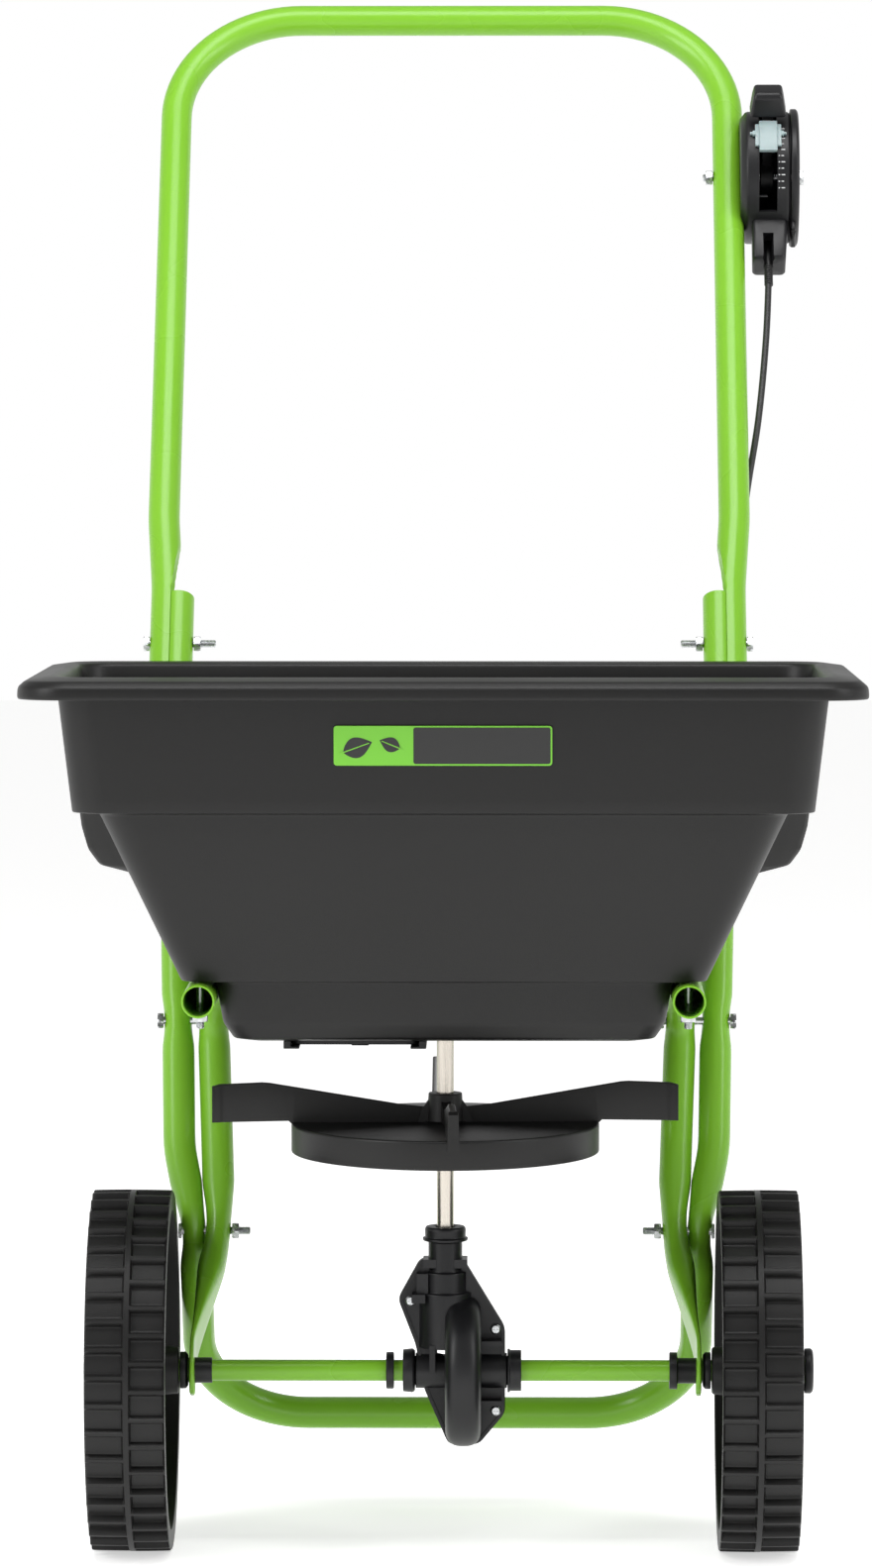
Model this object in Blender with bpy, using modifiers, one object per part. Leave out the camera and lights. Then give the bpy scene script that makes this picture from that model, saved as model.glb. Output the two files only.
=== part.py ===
"""Walk-behind garden spreader: bent tube frame on two wheels, with a hopper whose shutter drops
granules on a spinning impeller that the axle turns through a pair of bevel gears.

Metres, +Z up, the front faces -Y. The origin is on the floor, under the middle of the object.
"""

import math

import bmesh
import bpy
from mathutils import Matrix, Vector

# ---- Driving dimensions (metres and degrees) ----
AXLE_Y = -0.1732            # axle, from the middle of the object's depth
WHEEL_RADIUS = 0.127
WHEEL_INNER, WHEEL_OUTER = 0.192, 0.248
AXLE_RADIUS = 0.0075
TUBE_RADIUS = 0.0115
GAP = 0.0003                # play between pieces that touch
HANDLE_LEAN = math.radians(36)
HANDLE_HALF = 0.2095        # tube centre to the middle plane
HANDLE_LENGTH = 0.5785      # from the joint bolts to the top bar's centre
JOINT_Y, JOINT_Z = 0.205, 0.632
JOINT_HALF = 0.197
SHAFT_LEAN = math.radians(2)
SHAFT_RADIUS = 0.006
IMPELLER_RADIUS = 0.108
BLADE_RADIUS = 0.164
RIM_HALF, RIM_FRONT, RIM_REAR, RIM_TOP = 0.289, -0.210, 0.160, 0.622
HOPPER_WALL = 0.003
SHOULDER_Z = 0.409          # where the hopper rests on the side tubes
RAIL_HALF = 0.1685
PLATE_HALF = 0.178          # flattened tube ends that carry the axle
FLOOR_Z = 0.366             # underside of the hopper
RING_TEETH, PINION_TEETH, GEAR_MODULE = 32, 8, 0.00275
CONTROL_X, CONTROL_Z, CONTROL_RADIUS = 0.2385, 0.977, 0.050
LEVER_ANGLE = math.radians(60)

scene = bpy.context.scene
for old in list(bpy.data.objects):
    bpy.data.objects.remove(old, do_unlink=True)
parts = bpy.data.collections.new("garden_spreader")
cutters = bpy.data.collections.new("cutters")
for collection in (parts, cutters):
    scene.collection.children.link(collection)


def material(name, colour, roughness, metallic=0.0):
    made = bpy.data.materials.new(name)
    made.use_nodes = True
    shader = made.node_tree.nodes["Principled BSDF"]
    shader.inputs["Base Color"].default_value = (*colour, 1.0)
    shader.inputs["Roughness"].default_value = roughness
    shader.inputs["Metallic"].default_value = metallic
    return made


GREEN = material("green_powder_coat", (0.195, 0.533, 0.042), 0.30)
BLACK = material("black_polypropylene", (0.030, 0.028, 0.027), 0.45)
NYLON = material("black_nylon", (0.022, 0.022, 0.023), 0.40)
GREY = material("grey_acetal", (0.323, 0.402, 0.413), 0.42)
ZINC = material("zinc_plated_steel", (0.62, 0.62, 0.60), 0.32, 1.0)
STEEL = material("bright_steel", (0.66, 0.62, 0.57), 0.22, 1.0)
RUBBER = material("cable_sleeve", (0.018, 0.018, 0.018), 0.50)
LABEL = material("green_label", (0.195, 0.533, 0.042), 0.35)


def at(x, y, z):
    """A point given from the middle plane, the axle and the floor."""
    return Vector((x, AXLE_Y + y, z))


def keep(thing, finish=None, hidden=False):
    """Puts an object in its collection and gives it its material."""
    (cutters if hidden else parts).objects.link(thing)
    if hidden:
        thing.hide_render = True
        thing.display_type = "WIRE"
    elif finish:
        thing.data.materials.append(finish)
    return thing


def from_bmesh(name, shape, finish=None, hidden=False, place=None):
    data = bpy.data.meshes.new(name)
    bmesh.ops.recalc_face_normals(shape, faces=shape.faces)
    shape.to_mesh(data)
    shape.free()
    thing = bpy.data.objects.new(name, data)
    if place:
        thing.matrix_world = place
    return keep(thing, finish, hidden)


def smooth(thing, angle=32):
    thing.data.shade_smooth()
    thing.data.set_sharp_from_angle(angle=math.radians(angle))
    return thing


def as_mesh(thing, weld=0.00002):
    """Replaces a curve, or an object with modifiers, by the closed mesh it makes."""
    bpy.context.view_layer.update()
    graph = bpy.context.evaluated_depsgraph_get()
    data = bpy.data.meshes.new_from_object(thing.evaluated_get(graph))
    shape = bmesh.new()
    shape.from_mesh(data)
    bmesh.ops.remove_doubles(shape, verts=shape.verts, dist=weld)
    shape.to_mesh(data)
    shape.free()
    name, place, homes = thing.name, thing.matrix_world.copy(), list(thing.users_collection)
    hidden = thing.hide_render
    bpy.data.objects.remove(thing, do_unlink=True)
    made = bpy.data.objects.new(name, data)
    made.matrix_world = place
    for home in homes:
        home.objects.link(made)
    if hidden:
        made.hide_render, made.display_type = True, "WIRE"
    return made


def boolean(thing, other, operation="DIFFERENCE"):
    step = thing.modifiers.new(operation.lower(), "BOOLEAN")
    step.operation, step.object, step.solver = operation, other, "EXACT"
    return thing


def rounded_path(corners, radii, step=math.radians(12)):
    """The corner points joined by straight runs, with an arc of its radius at each inner corner."""
    path = [corners[0]]
    for before, corner, after, radius in zip(corners, corners[1:], corners[2:], radii):
        back, ahead = (before - corner).normalized(), (after - corner).normalized()
        turn = math.pi - back.angle(ahead)
        reach = radius * math.tan(turn / 2)
        centre = corner + (back + ahead).normalized() * (radius / math.cos(turn / 2))
        start, end = corner + back * reach - centre, corner + ahead * reach - centre
        count = max(2, round(turn / step))
        axis = start.cross(end).normalized()
        path += [centre + Matrix.Rotation(turn * i / count, 3, axis) @ start for i in range(count + 1)]
    return path + [corners[-1]]


def tube(name, path, radius, finish, resolution=3, pinch=None):
    curve = bpy.data.curves.new(name, "CURVE")
    curve.dimensions, curve.fill_mode = "3D", "FULL"
    curve.bevel_depth, curve.bevel_resolution, curve.use_fill_caps = radius, resolution, True
    line = curve.splines.new("POLY")
    line.points.add(len(path) - 1)
    for point, place in zip(line.points, path):
        point.co = (*place, 1.0)
        point.radius = pinch(place) if pinch else 1.0
    line.use_smooth = True
    return keep(bpy.data.objects.new(name, curve), finish)


def prism(name, outline, half, place, finish=None, hidden=False):
    """A flat outline in its own XY plane, thickened by half on each side."""
    curve = bpy.data.curves.new(name, "CURVE")
    curve.dimensions, curve.fill_mode, curve.extrude = "2D", "BOTH", half
    line = curve.splines.new("POLY")
    line.points.add(len(outline) - 1)
    for point, (x, y) in zip(line.points, outline):
        point.co = (x, y, 0.0, 1.0)
    line.use_cyclic_u = True
    thing = keep(bpy.data.objects.new(name, curve), finish, hidden)
    thing.matrix_world = place
    return as_mesh(thing)


def turned(name, profile, place, finish=None, steps=24, hidden=False, closed=True):
    """A profile of (radius, height) points, running down the outer side, turned about Z."""
    data = bpy.data.meshes.new(name)
    count = len(profile)
    edges = [(i, i + 1) for i in range(count - 1)] + ([(count - 1, 0)] if closed else [])
    data.from_pydata([(r, 0.0, z) for r, z in profile], edges, [])
    thing = keep(bpy.data.objects.new(name, data), finish, hidden)
    screw = thing.modifiers.new("turn", "SCREW")
    screw.axis, screw.angle = "Z", math.tau
    screw.steps = screw.render_steps = steps
    screw.use_merge_vertices, screw.merge_threshold = True, 0.00001
    thing.matrix_world = place
    return thing


def ring(outer, inner, low, high):
    """The profile of a plain bush or washer."""
    return [(outer, high), (outer, low), (inner, low), (inner, high)]


def along_x(x, y, z, side=1):
    """A place whose own Z points outwards along X."""
    return Matrix.Translation(at(x, y, z)) @ Matrix.Rotation(side * math.pi / 2, 4, "Y")


def on_shaft(x=0.0, y=0.0, z=0.0):
    """A place measured from the axle, in the frame that leans with the impeller shaft."""
    lean = Matrix.Rotation(SHAFT_LEAN, 4, "X")
    return Matrix.Translation(at(0, 0, WHEEL_RADIUS)) @ lean @ Matrix.Translation((x, y, z))


def rods(name, spans, finish=None, hidden=False, sides=12, place=None):
    """Round bars, each from one point to another, in one mesh."""
    shape = bmesh.new()
    for start, end, radius in spans:
        run = end - start
        turn = Vector((0, 0, 1)).rotation_difference(run).to_matrix().to_4x4()
        bmesh.ops.create_cone(shape, cap_ends=True, segments=sides, radius1=radius, radius2=radius,
                              depth=run.length, matrix=Matrix.Translation((start + end) / 2) @ turn)
    return from_bmesh(name, shape, finish, hidden, place)


def box(name, low, high, finish=None, hidden=False, place=None, bevel=0.0):
    shape = bmesh.new()
    low, high = Vector(low), Vector(high)
    bmesh.ops.create_cube(shape, size=1.0)
    bmesh.ops.scale(shape, vec=high - low, verts=shape.verts)
    bmesh.ops.translate(shape, vec=(low + high) / 2, verts=shape.verts)
    thing = from_bmesh(name, shape, finish, hidden, place)
    if bevel:
        edge = thing.modifiers.new("edges", "BEVEL")
        edge.width, edge.segments = bevel, 2
    return thing


def fasteners(names, profile, places, steps, closed=False):
    """The same turned fastener at each place, sharing one mesh."""
    pattern = as_mesh(turned("pattern", profile, Matrix(), ZINC, steps, closed=closed))
    smooth(pattern)
    for name, place in zip(names, places):
        keep(bpy.data.objects.new(name, pattern.data)).matrix_world = place
    bpy.data.objects.remove(pattern, do_unlink=True)


def bolt_profile(head, head_height, shank, length):
    return [(0.0, head_height), (head, head_height), (head, 0.0), (shank, 0.0), (shank, -length), (0.0, -length)]


# ---- Frame: one bent tube makes the lower handle and the stand ----
LOWER_HALF = 0.191
joint_line = Vector((0, math.sin(HANDLE_LEAN), math.cos(HANDLE_LEAN)))
stand_side = [(JOINT_HALF, 0.2285, 0.6644), (JOINT_HALF, 0.153, 0.560), (LOWER_HALF + 0.0015, 0.110, 0.360),
              (LOWER_HALF, 0.0922, 0.275), (0.1794, 0.080, 0.217), (0.1798, 0.197, 0.071)]
STAND_BENDS = (0.08, 0.2, 0.10, 0.040, 0.078)
PINCH_RADIUS, PINCH_REACH = 0.0086, 0.036


def pinched(place):
    """How much of its radius a tube keeps where the lower bolts press the two tubes together."""
    away = (Vector((place.y, place.z)) - Vector((AXLE_Y + 0.080, 0.217))).length / PINCH_REACH
    return 1 - (1 - PINCH_RADIUS / TUBE_RADIUS) * max(0.0, 1 - away * away)


left = [at(-x, y, z) for x, y, z in stand_side]
right = [at(x, y, z) for x, y, z in reversed(stand_side)]
stand = as_mesh(tube("stand_frame", rounded_path(left + right, [*STAND_BENDS, *reversed(STAND_BENDS)]),
                     TUBE_RADIUS, GREEN, pinch=pinched))

# ---- Side tubes: rail under the hopper, leg beside the frame, flattened at the axle ----
LEG_HALF = 0.1794 - 2 * PINCH_RADIUS - 0.0004
FLATTEN_LENGTH, PLATE_THICKNESS, PLATE_WIDTH = 0.105, 0.0036, 0.034


def side_tube(name, side):
    corners = [(RAIL_HALF, -0.130, SHOULDER_Z - TUBE_RADIUS - GAP), (RAIL_HALF, 0.1180, SHOULDER_Z - TUBE_RADIUS - GAP),
               (LEG_HALF, 0.0800, 0.217), (PLATE_HALF, 0.0120, 0.140), (PLATE_HALF, -0.0118, 0.1135)]
    path = rounded_path([at(side * x, y, z) for x, y, z in corners], [0.040, 0.075, 0.060], math.radians(14))
    lengths = [0.0]
    for before, after in zip(path, path[1:]):
        lengths.append(lengths[-1] + (after - before).length)
    total = lengths[-1]
    fine = []
    for (place, length), (after, further) in zip(zip(path, lengths), zip(path[1:], lengths[1:])):
        count = max(1, round((further - length) / 0.008)) if further > total - 0.08 else 1
        fine += [(place.lerp(after, i / count), length + (further - length) * i / count) for i in range(count)]
    fine.append((path[-1], total))
    shape, rings, points = bmesh.new(), [], 12
    for index, (place, length) in enumerate(fine):
        ahead = fine[min(index + 1, len(fine) - 1)][0] - fine[max(index - 1, 0)][0]
        out = Vector((1, 0, 0))
        across = ahead.normalized().cross(out).normalized()
        flat = max(0.0, min(1.0, 1 - (total - length - 0.030) / FLATTEN_LENGTH))
        flat = flat * flat * (3 - 2 * flat)
        thick = TUBE_RADIUS * pinched(place)
        thick += (PLATE_THICKNESS / 2 - thick) * flat
        wide = TUBE_RADIUS + (PLATE_WIDTH / 2 - TUBE_RADIUS) * flat
        from_end = total - length
        if from_end < PLATE_WIDTH / 2:
            wide *= max(0.35, math.sqrt(1 - (1 - from_end / (PLATE_WIDTH / 2)) ** 2))
        power = 2 / (2 + 4 * flat)
        turns = [math.tau * i / points for i in range(points)]
        rings.append([shape.verts.new(
            place + out * thick * math.copysign(abs(math.cos(t)) ** power, math.cos(t))
            + across * wide * math.copysign(abs(math.sin(t)) ** power, math.sin(t))) for t in turns])
    for one, two in zip(rings, rings[1:]):
        for i in range(points):
            j = (i + 1) % points
            shape.faces.new((one[i], one[j], two[j], two[i]))
    shape.faces.new(rings[0])
    shape.faces.new(rings[-1])
    return from_bmesh(name, shape, GREEN)


side_tubes = {side: side_tube(f"side_tube_{word}", side) for side, word in ((-1, "left"), (1, "right"))}

# ---- Handle: one bent tube whose ends nest round the frame's upper ends ----
NEST_HALF = 0.2055
handle_side = [(NEST_HALF, -0.026), (NEST_HALF, 0.050), (HANDLE_HALF, 0.110), (HANDLE_HALF, HANDLE_LENGTH)]
joint = at(0, JOINT_Y, JOINT_Z)
handle_left = [joint + joint_line * t - Vector((x, 0, 0)) for x, t in handle_side]
handle_right = [joint + joint_line * t + Vector((x, 0, 0)) for x, t in reversed(handle_side)]
handle = as_mesh(tube("handle", rounded_path(handle_left + handle_right, [0.2, 0.2, 0.094, 0.094, 0.2, 0.2]),
                      TUBE_RADIUS, GREEN))
nest = rods("handle_nest", [(joint + joint_line * -0.09 + Vector((side * JOINT_HALF, 0, 0)),
                             joint + joint_line * 0.0405 + Vector((side * JOINT_HALF, 0, 0)),
                             TUBE_RADIUS + 0.0004) for side in (-1, 1)], hidden=True, sides=24)
boolean(handle, nest)

# ---- Fasteners through the tubes ----
SHANK, DRILL = 0.0030, 0.0037
FRAME_BOLTS = {             # y, z, head's seat, head's height, nut's seat, thread's end
    "handle": (JOINT_Y, JOINT_Z, 0.2176, 0.0045, 0.1850, 0.1690),
    "upper_frame": (0.1085, 0.365, 0.2044, 0.0045, 0.1550, 0.1440),
    "lower_frame": (0.0800, 0.217, 0.1898, 0.0019, 0.1525, 0.1400)}
cross_drills = [(at(side * 0.130, y, z), at(side * 0.230, y, z), DRILL)
                for y, z, *_ in FRAME_BOLTS.values() for side in (-1, 1)]
cross_cutter = rods("cross_drill", cross_drills, hidden=True, sides=6)
hopper_bolt_spots = [(side * RAIL_HALF, -0.090) for side in (-1, 1)]
down_cutter = rods("down_drill", [(at(x, y, 0.375), at(x, y, 0.425), DRILL) for x, y in hopper_bolt_spots],
                   hidden=True, sides=8)
control_tube_y = JOINT_Y + (CONTROL_Z - JOINT_Z) * math.tan(HANDLE_LEAN)
control_cutter = rods("control_drill", [(at(0.18, control_tube_y, CONTROL_Z),
                                         at(0.28, control_tube_y, CONTROL_Z), DRILL)], hidden=True, sides=8)
boolean(handle, cross_cutter)
boolean(handle, control_cutter)
boolean(stand, cross_cutter)
bore_cutter = rods("rail_bore", [(at(side * RAIL_HALF, -0.140, SHOULDER_Z - TUBE_RADIUS - GAP),
                                  at(side * RAIL_HALF, -0.106, SHOULDER_Z - TUBE_RADIUS - GAP), 0.0101)
                                 for side in (-1, 1)], hidden=True, sides=20)
bush_cutter = rods("bush_hole", [(at(side * 0.16, 0, WHEEL_RADIUS), at(side * 0.19, 0, WHEEL_RADIUS), 0.0094)
                                 for side in (-1, 1)], hidden=True, sides=20)
for thing in side_tubes.values():
    for cutter in (cross_cutter, down_cutter, bore_cutter, bush_cutter):
        boolean(thing, cutter)
for spot, (y, z, seat, head, nut, tip) in FRAME_BOLTS.items():
    fasteners([f"{spot}_bolt_left", f"{spot}_bolt_right"], bolt_profile(0.0062, head, SHANK, seat - tip),
              [along_x(side * seat, y, z, side) for side in (-1, 1)], 6)
    fasteners([f"{spot}_nut_left", f"{spot}_nut_right"], ring(0.0064, 0.0038, -0.0058, 0.0),
              [along_x(side * nut, y, z, side) for side in (-1, 1)], 6, closed=True)
fasteners(["hopper_bolt_left", "hopper_bolt_right"], bolt_profile(0.0060, 0.0040, SHANK, 0.037),
          [Matrix.Translation(at(x, y, SHOULDER_Z + HOPPER_WALL + 2 * GAP)) for x, y in hopper_bolt_spots], 6)
fasteners(["hopper_nut_left", "hopper_nut_right"], ring(0.0064, 0.0038, -0.0058, 0.0),
          [Matrix.Translation(at(x, y, SHOULDER_Z - 2 * TUBE_RADIUS - 0.0008)) for x, y in hopper_bolt_spots], 6,
          closed=True)

# ---- Hopper: one moulded shell, from the lip's edge down to its floor ----
BULGE_HALF = 0.252
SIDE_STATIONS = (0.20, 0.28, 0.50, 0.72, 0.80)
HOPPER_RINGS = [            # half width, front, rear, height, corner radius, half width of the side bulge
    (RIM_HALF, RIM_FRONT, RIM_REAR, 0.6070, 0.034, 0), (0.2882, -0.2092, 0.1592, 0.6140, 0.033, 0),
    (0.2810, -0.2020, 0.1520, 0.6195, 0.030, 0), (0.2680, -0.1860, 0.1360, RIM_TOP, 0.026, 0),
    (0.2620, -0.1740, 0.1240, 0.6190, 0.024, 0), (0.2605, -0.1725, 0.1225, 0.6130, 0.023, 0),
    (0.2510, -0.1630, 0.1130, 0.5320, 0.022, 0), (0.2340, -0.1470, 0.0970, 0.5300, 0.020, BULGE_HALF),
    (0.2275, -0.1434, 0.0944, 0.5160, 0.020, 0.2505), (0.2200, -0.1392, 0.0915, 0.5000, 0.019, 0.2460),
    (0.2149, -0.1363, 0.0895, 0.4890, 0.019, 0.2370), (0.2120, -0.1347, 0.0884, 0.4830, 0.019, 0.2160),
    (0.1790, -0.1140, 0.0840, 0.4125, 0.016, 0), (0.1555, -0.0980, 0.0780, 0.4120, 0.014, 0),
    (0.1500, -0.0920, 0.0720, 0.3800, 0.014, 0), (0.1440, -0.0860, 0.0660, 0.3708, 0.013, 0),
    (0.1340, -0.0760, 0.0560, FLOOR_Z + HOPPER_WALL, 0.010, 0)]


def hopper_ring(half, front, rear, height, radius, bulge):
    """A rounded rectangle, with stations along its two sides that the bulge pushes out."""
    sides = [(1, 1, 0), (-1, 1, 90), (-1, -1, 180), (1, -1, 270)]
    run = (rear - radius) - (front + radius)
    points = []
    for sx, sy, start in sides:
        centre = (sx * (half - radius), rear - radius if sy > 0 else front + radius)
        for i in range(4):
            turn = math.radians(start + 30 * i)
            points.append((centre[0] + radius * math.cos(turn), centre[1] + radius * math.sin(turn)))
        if start in (90, 270):
            for index, share in enumerate(SIDE_STATIONS):
                out = max(half, bulge) if 0 < index < len(SIDE_STATIONS) - 1 else half
                y = front + radius + run * (share if start == 270 else 1 - share)
                points.append((sx * out, y))
    return [at(x, y, height) for x, y in points]


shape = bmesh.new()
loops = [[shape.verts.new(point) for point in hopper_ring(*numbers)] for numbers in HOPPER_RINGS]
for upper, lower in zip(loops, loops[1:]):
    for i in range(len(upper)):
        j = (i + 1) % len(upper)
        shape.faces.new((upper[i], lower[i], lower[j], upper[j]))
shape.faces.new(list(reversed(loops[-1])))
data = bpy.data.meshes.new("hopper")
shape.to_mesh(data)
shape.free()
hopper = keep(bpy.data.objects.new("hopper", data), BLACK)
wall = hopper.modifiers.new("wall", "SOLIDIFY")
wall.thickness, wall.offset, wall.use_even_offset = HOPPER_WALL, 1.0, True
shaft_at_floor = -math.sin(SHAFT_LEAN) * (FLOOR_Z - WHEEL_RADIUS)
OUTLETS = [(-0.088, -0.010), (-0.063, -0.010), (-0.038, -0.010)]
OUTLET_HALF_X, OUTLET_HALF_Y, SHUTTER_TRAVEL = 0.008, 0.013, 0.030
shape = bmesh.new()
for x, y in OUTLETS:
    place = Matrix.Translation(at(x, y, FLOOR_Z)) @ Matrix.Diagonal((2 * OUTLET_HALF_X, 2 * OUTLET_HALF_Y, 0.02, 1))
    bmesh.ops.create_cube(shape, size=1.0, matrix=place)
outlet_cutter = from_bmesh("outlet_cutter", shape, hidden=True)
boolean(hopper, outlet_cutter)
boolean(hopper, down_cutter)
boolean(hopper, rods("shaft_hole", [(at(0, shaft_at_floor, FLOOR_Z - 0.01), at(0, shaft_at_floor, FLOOR_Z + 0.012),
                                     0.0112)], hidden=True, sides=20))

LABEL_Z, LABEL_HALF_X, LABEL_HALF_Z = 0.575, 0.0742, 0.0137
wall_lean = math.atan2(0.0095, 0.081)
label_y = -0.1725 + 0.0095 * (0.613 - LABEL_Z) / 0.081 - HOPPER_WALL / math.cos(wall_lean) - 0.0012
box("hopper_label", (-LABEL_HALF_X, -0.0005, -LABEL_HALF_Z), (LABEL_HALF_X, 0.0005, LABEL_HALF_Z), LABEL,
    place=Matrix.Translation(at(0, label_y, LABEL_Z)) @ Matrix.Rotation(wall_lean, 4, "X"))

# ---- Shutter under the hopper, its two guides and its wire ----
SHUTTER_TOP, SHUTTER_THICK = FLOOR_Z - 0.0006, 0.0032
SHUTTER_X = (-0.106, -0.018)
shutter = box("shutter", at(SHUTTER_X[0], -0.062, SHUTTER_TOP - SHUTTER_THICK), at(SHUTTER_X[1], 0.012, SHUTTER_TOP),
              NYLON)
shape = bmesh.new()
for x, y in OUTLETS:
    place = Matrix.Translation(at(x, y - SHUTTER_TRAVEL, FLOOR_Z)) @ Matrix.Diagonal(
        (2 * OUTLET_HALF_X, 2 * OUTLET_HALF_Y, 0.03, 1))
    bmesh.ops.create_cube(shape, size=1.0, matrix=place)
boolean(shutter, from_bmesh("shutter_windows", shape, hidden=True))
WIRE_X, WIRE_Z = -0.060, 0.3585
tab = box("shutter_tab", at(WIRE_X - 0.006, 0.004, 0.3560), at(WIRE_X + 0.006, 0.010, SHUTTER_TOP - 0.001), hidden=True)
boolean(shutter, tab, "UNION")
boolean(shutter, rods("tab_hole", [(at(WIRE_X, -0.005, WIRE_Z), at(WIRE_X, 0.025, WIRE_Z), 0.0014)],
                      hidden=True, sides=8))
for word, outer, inner in (("left", -0.1115, -0.1005), ("right", -0.0125, -0.0235)):
    web = outer + math.copysign(0.0050, inner - outer)
    low, lip, top = SHUTTER_TOP - SHUTTER_THICK - 0.0020, SHUTTER_TOP - SHUTTER_THICK - GAP, FLOOR_Z - GAP
    outline = [(outer, low), (inner, low), (inner, lip), (web, lip), (web, top), (outer, top)]
    if word == "right":
        outline = list(reversed(outline))
    prism(f"shutter_guide_{word}", outline, 0.058,
          Matrix.Translation(at(0, -0.016, 0)) @ Matrix.Rotation(math.pi / 2, 4, "X"), NYLON)
tube("shutter_wire", [at(WIRE_X, 0.0010, WIRE_Z), at(WIRE_X, 0.070, WIRE_Z)], 0.0010, ZINC, 2)
BRACKET_Y = 0.050
bracket = box("cable_bracket", at(WIRE_X - 0.011, BRACKET_Y - 0.0015, 0.3540), at(WIRE_X + 0.011, BRACKET_Y + 0.0015, 0.3656),
              ZINC)
boolean(bracket, rods("bracket_hole", [(at(WIRE_X, 0.04, WIRE_Z), at(WIRE_X, 0.06, WIRE_Z), 0.0042)],
                      hidden=True, sides=16))
to_y = Matrix.Rotation(-math.pi / 2, 4, "X")
turned("cable_end_tube", ring(0.0039, 0.0016, 0.0, 0.060), Matrix.Translation(at(WIRE_X, 0.0440, WIRE_Z)) @ to_y,
       ZINC, 12)

# ---- Impeller drive: shaft, impeller, agitator, bushes and bevel gears ----
SHAFT_LOW, SHAFT_HIGH = 0.031, 0.296
rods("impeller_shaft", [(Vector((0, 0, SHAFT_LOW)), Vector((0, 0, SHAFT_HIGH)), SHAFT_RADIUS)], STEEL,
     sides=16, place=on_shaft())
smooth(bpy.data.objects["impeller_shaft"])
BORE = SHAFT_RADIUS + 0.0004
impeller = turned("impeller", [(0.0125, 0.197), (0.0145, 0.190), (0.0145, 0.1765), (0.105, 0.1765), (0.1072, 0.1755),
                               (IMPELLER_RADIUS, 0.173), (IMPELLER_RADIUS, 0.156), (0.1055, 0.156),
                               (0.1055, 0.1735), (0.0125, 0.1735), (0.0125, 0.158), (BORE, 0.158), (BORE, 0.197)],
                  on_shaft(), BLACK, 24)
BLADE_OUTLINE = [(0.012, 0.1750), (0.1078, 0.1750), (0.111, 0.1780), (BLADE_RADIUS, 0.1765), (BLADE_RADIUS, 0.2015),
                 (0.160, 0.2035), (0.126, 0.2050), (0.012, 0.1880)]
for index in range(4):
    turn = Matrix.Rotation(math.radians(90 * index + 2.5), 4, "Z")
    stand_up = Matrix.Rotation(math.pi / 2, 4, "X")
    blade = prism(f"blade_{index}", BLADE_OUTLINE, 0.0022, on_shaft() @ turn @ stand_up, hidden=True)
    boolean(impeller, blade, "UNION")
agitator = turned("agitator", ring(0.0110, BORE, 0.262, 0.282), on_shaft(), NYLON, 20)
for side in (-1, 1):
    arm = tube(f"agitator_arm_{side}", [Vector((side * 0.0095, 0, 0.272)), Vector((side * 0.045, 0, 0.268)),
                                        Vector((side * 0.062, 0, 0.258))], 0.0035, None, 2)
    arm.matrix_world = on_shaft()
    arm = as_mesh(arm)
    parts.objects.unlink(arm)
    boolean(agitator, keep(arm, hidden=True), "UNION")
turned("shaft_bush", [(0.0150, 0.2470), (0.0150, 0.2434), (0.0098, 0.2434), (0.0098, 0.2372), (BORE, 0.2372),
                      (BORE, 0.2470)], on_shaft(), NYLON, 16)


def bevel_gear(name, teeth, mate_teeth, back, hub, place, shift):
    """Straight bevel teeth whose cone's point is the origin, cut on a blank that is closed behind by a
    disc of the radius and height in back; hub is the height where its front face is closed."""
    half_angle = math.atan2(teeth, mate_teeth)
    far = GEAR_MODULE * teeth / 2 / math.sin(half_angle)
    near = far * 0.79
    addendum, dedendum, tip, root = 0.0011, 0.0017, 0.15, 0.27

    def tooth_ring(distance):
        scale = distance / far
        points = []
        for tooth in range(teeth):
            for share, height in ((-root, -dedendum), (-tip, addendum), (tip, addendum), (root, -dedendum)):
                turn = math.tau * (tooth + shift + share) / teeth
                radius = distance * math.sin(half_angle) + height * scale * math.cos(half_angle)
                along = distance * math.cos(half_angle) - height * scale * math.sin(half_angle)
                points.append(Vector((radius * math.cos(turn), radius * math.sin(turn), along)))
        return points

    blank = bmesh.new()
    back_radius, back_height = back
    back_ring = [Vector((p.x, p.y, 0)).normalized() * back_radius + Vector((0, 0, back_height))
                 for p in tooth_ring(far)]
    rings = [[blank.verts.new(point) for point in loop] for loop in (tooth_ring(near), tooth_ring(far), back_ring)]
    for one, two in zip(rings, rings[1:]):
        for i in range(len(one)):
            j = (i + 1) % len(one)
            blank.faces.new((one[i], one[j], two[j], two[i]))
    for loop, height in ((rings[0], hub), (rings[-1], back_height)):
        middle = blank.verts.new((0, 0, height))
        for i in range(len(loop)):
            blank.faces.new((loop[i], loop[(i + 1) % len(loop)], middle))
    return from_bmesh(name, blank, NYLON, place=place)


pinion_axial_near = GEAR_MODULE * RING_TEETH / 2 * 0.79
pinion = bevel_gear("pinion", PINION_TEETH, RING_TEETH, (0.0095, 0.0535), pinion_axial_near, on_shaft(), 0.5)
boolean(pinion, rods("pinion_bore", [(Vector((0, 0, 0.02)), Vector((0, 0, 0.07)), BORE + 0.0001)], hidden=True,
                     sides=16, place=on_shaft()))
ring_gear = bevel_gear("ring_gear", RING_TEETH, PINION_TEETH, (0.0458, 0.0185), 0.0095,
                       on_shaft() @ Matrix.Rotation(math.pi / 2, 4, "Y"), 0.0)
AXLE_BORE = AXLE_RADIUS + 0.0005
boolean(ring_gear, rods("ring_gear_bore", [(at(0, 0, WHEEL_RADIUS), at(0.04, 0, WHEEL_RADIUS), AXLE_BORE)],
                        hidden=True, sides=16))

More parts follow.
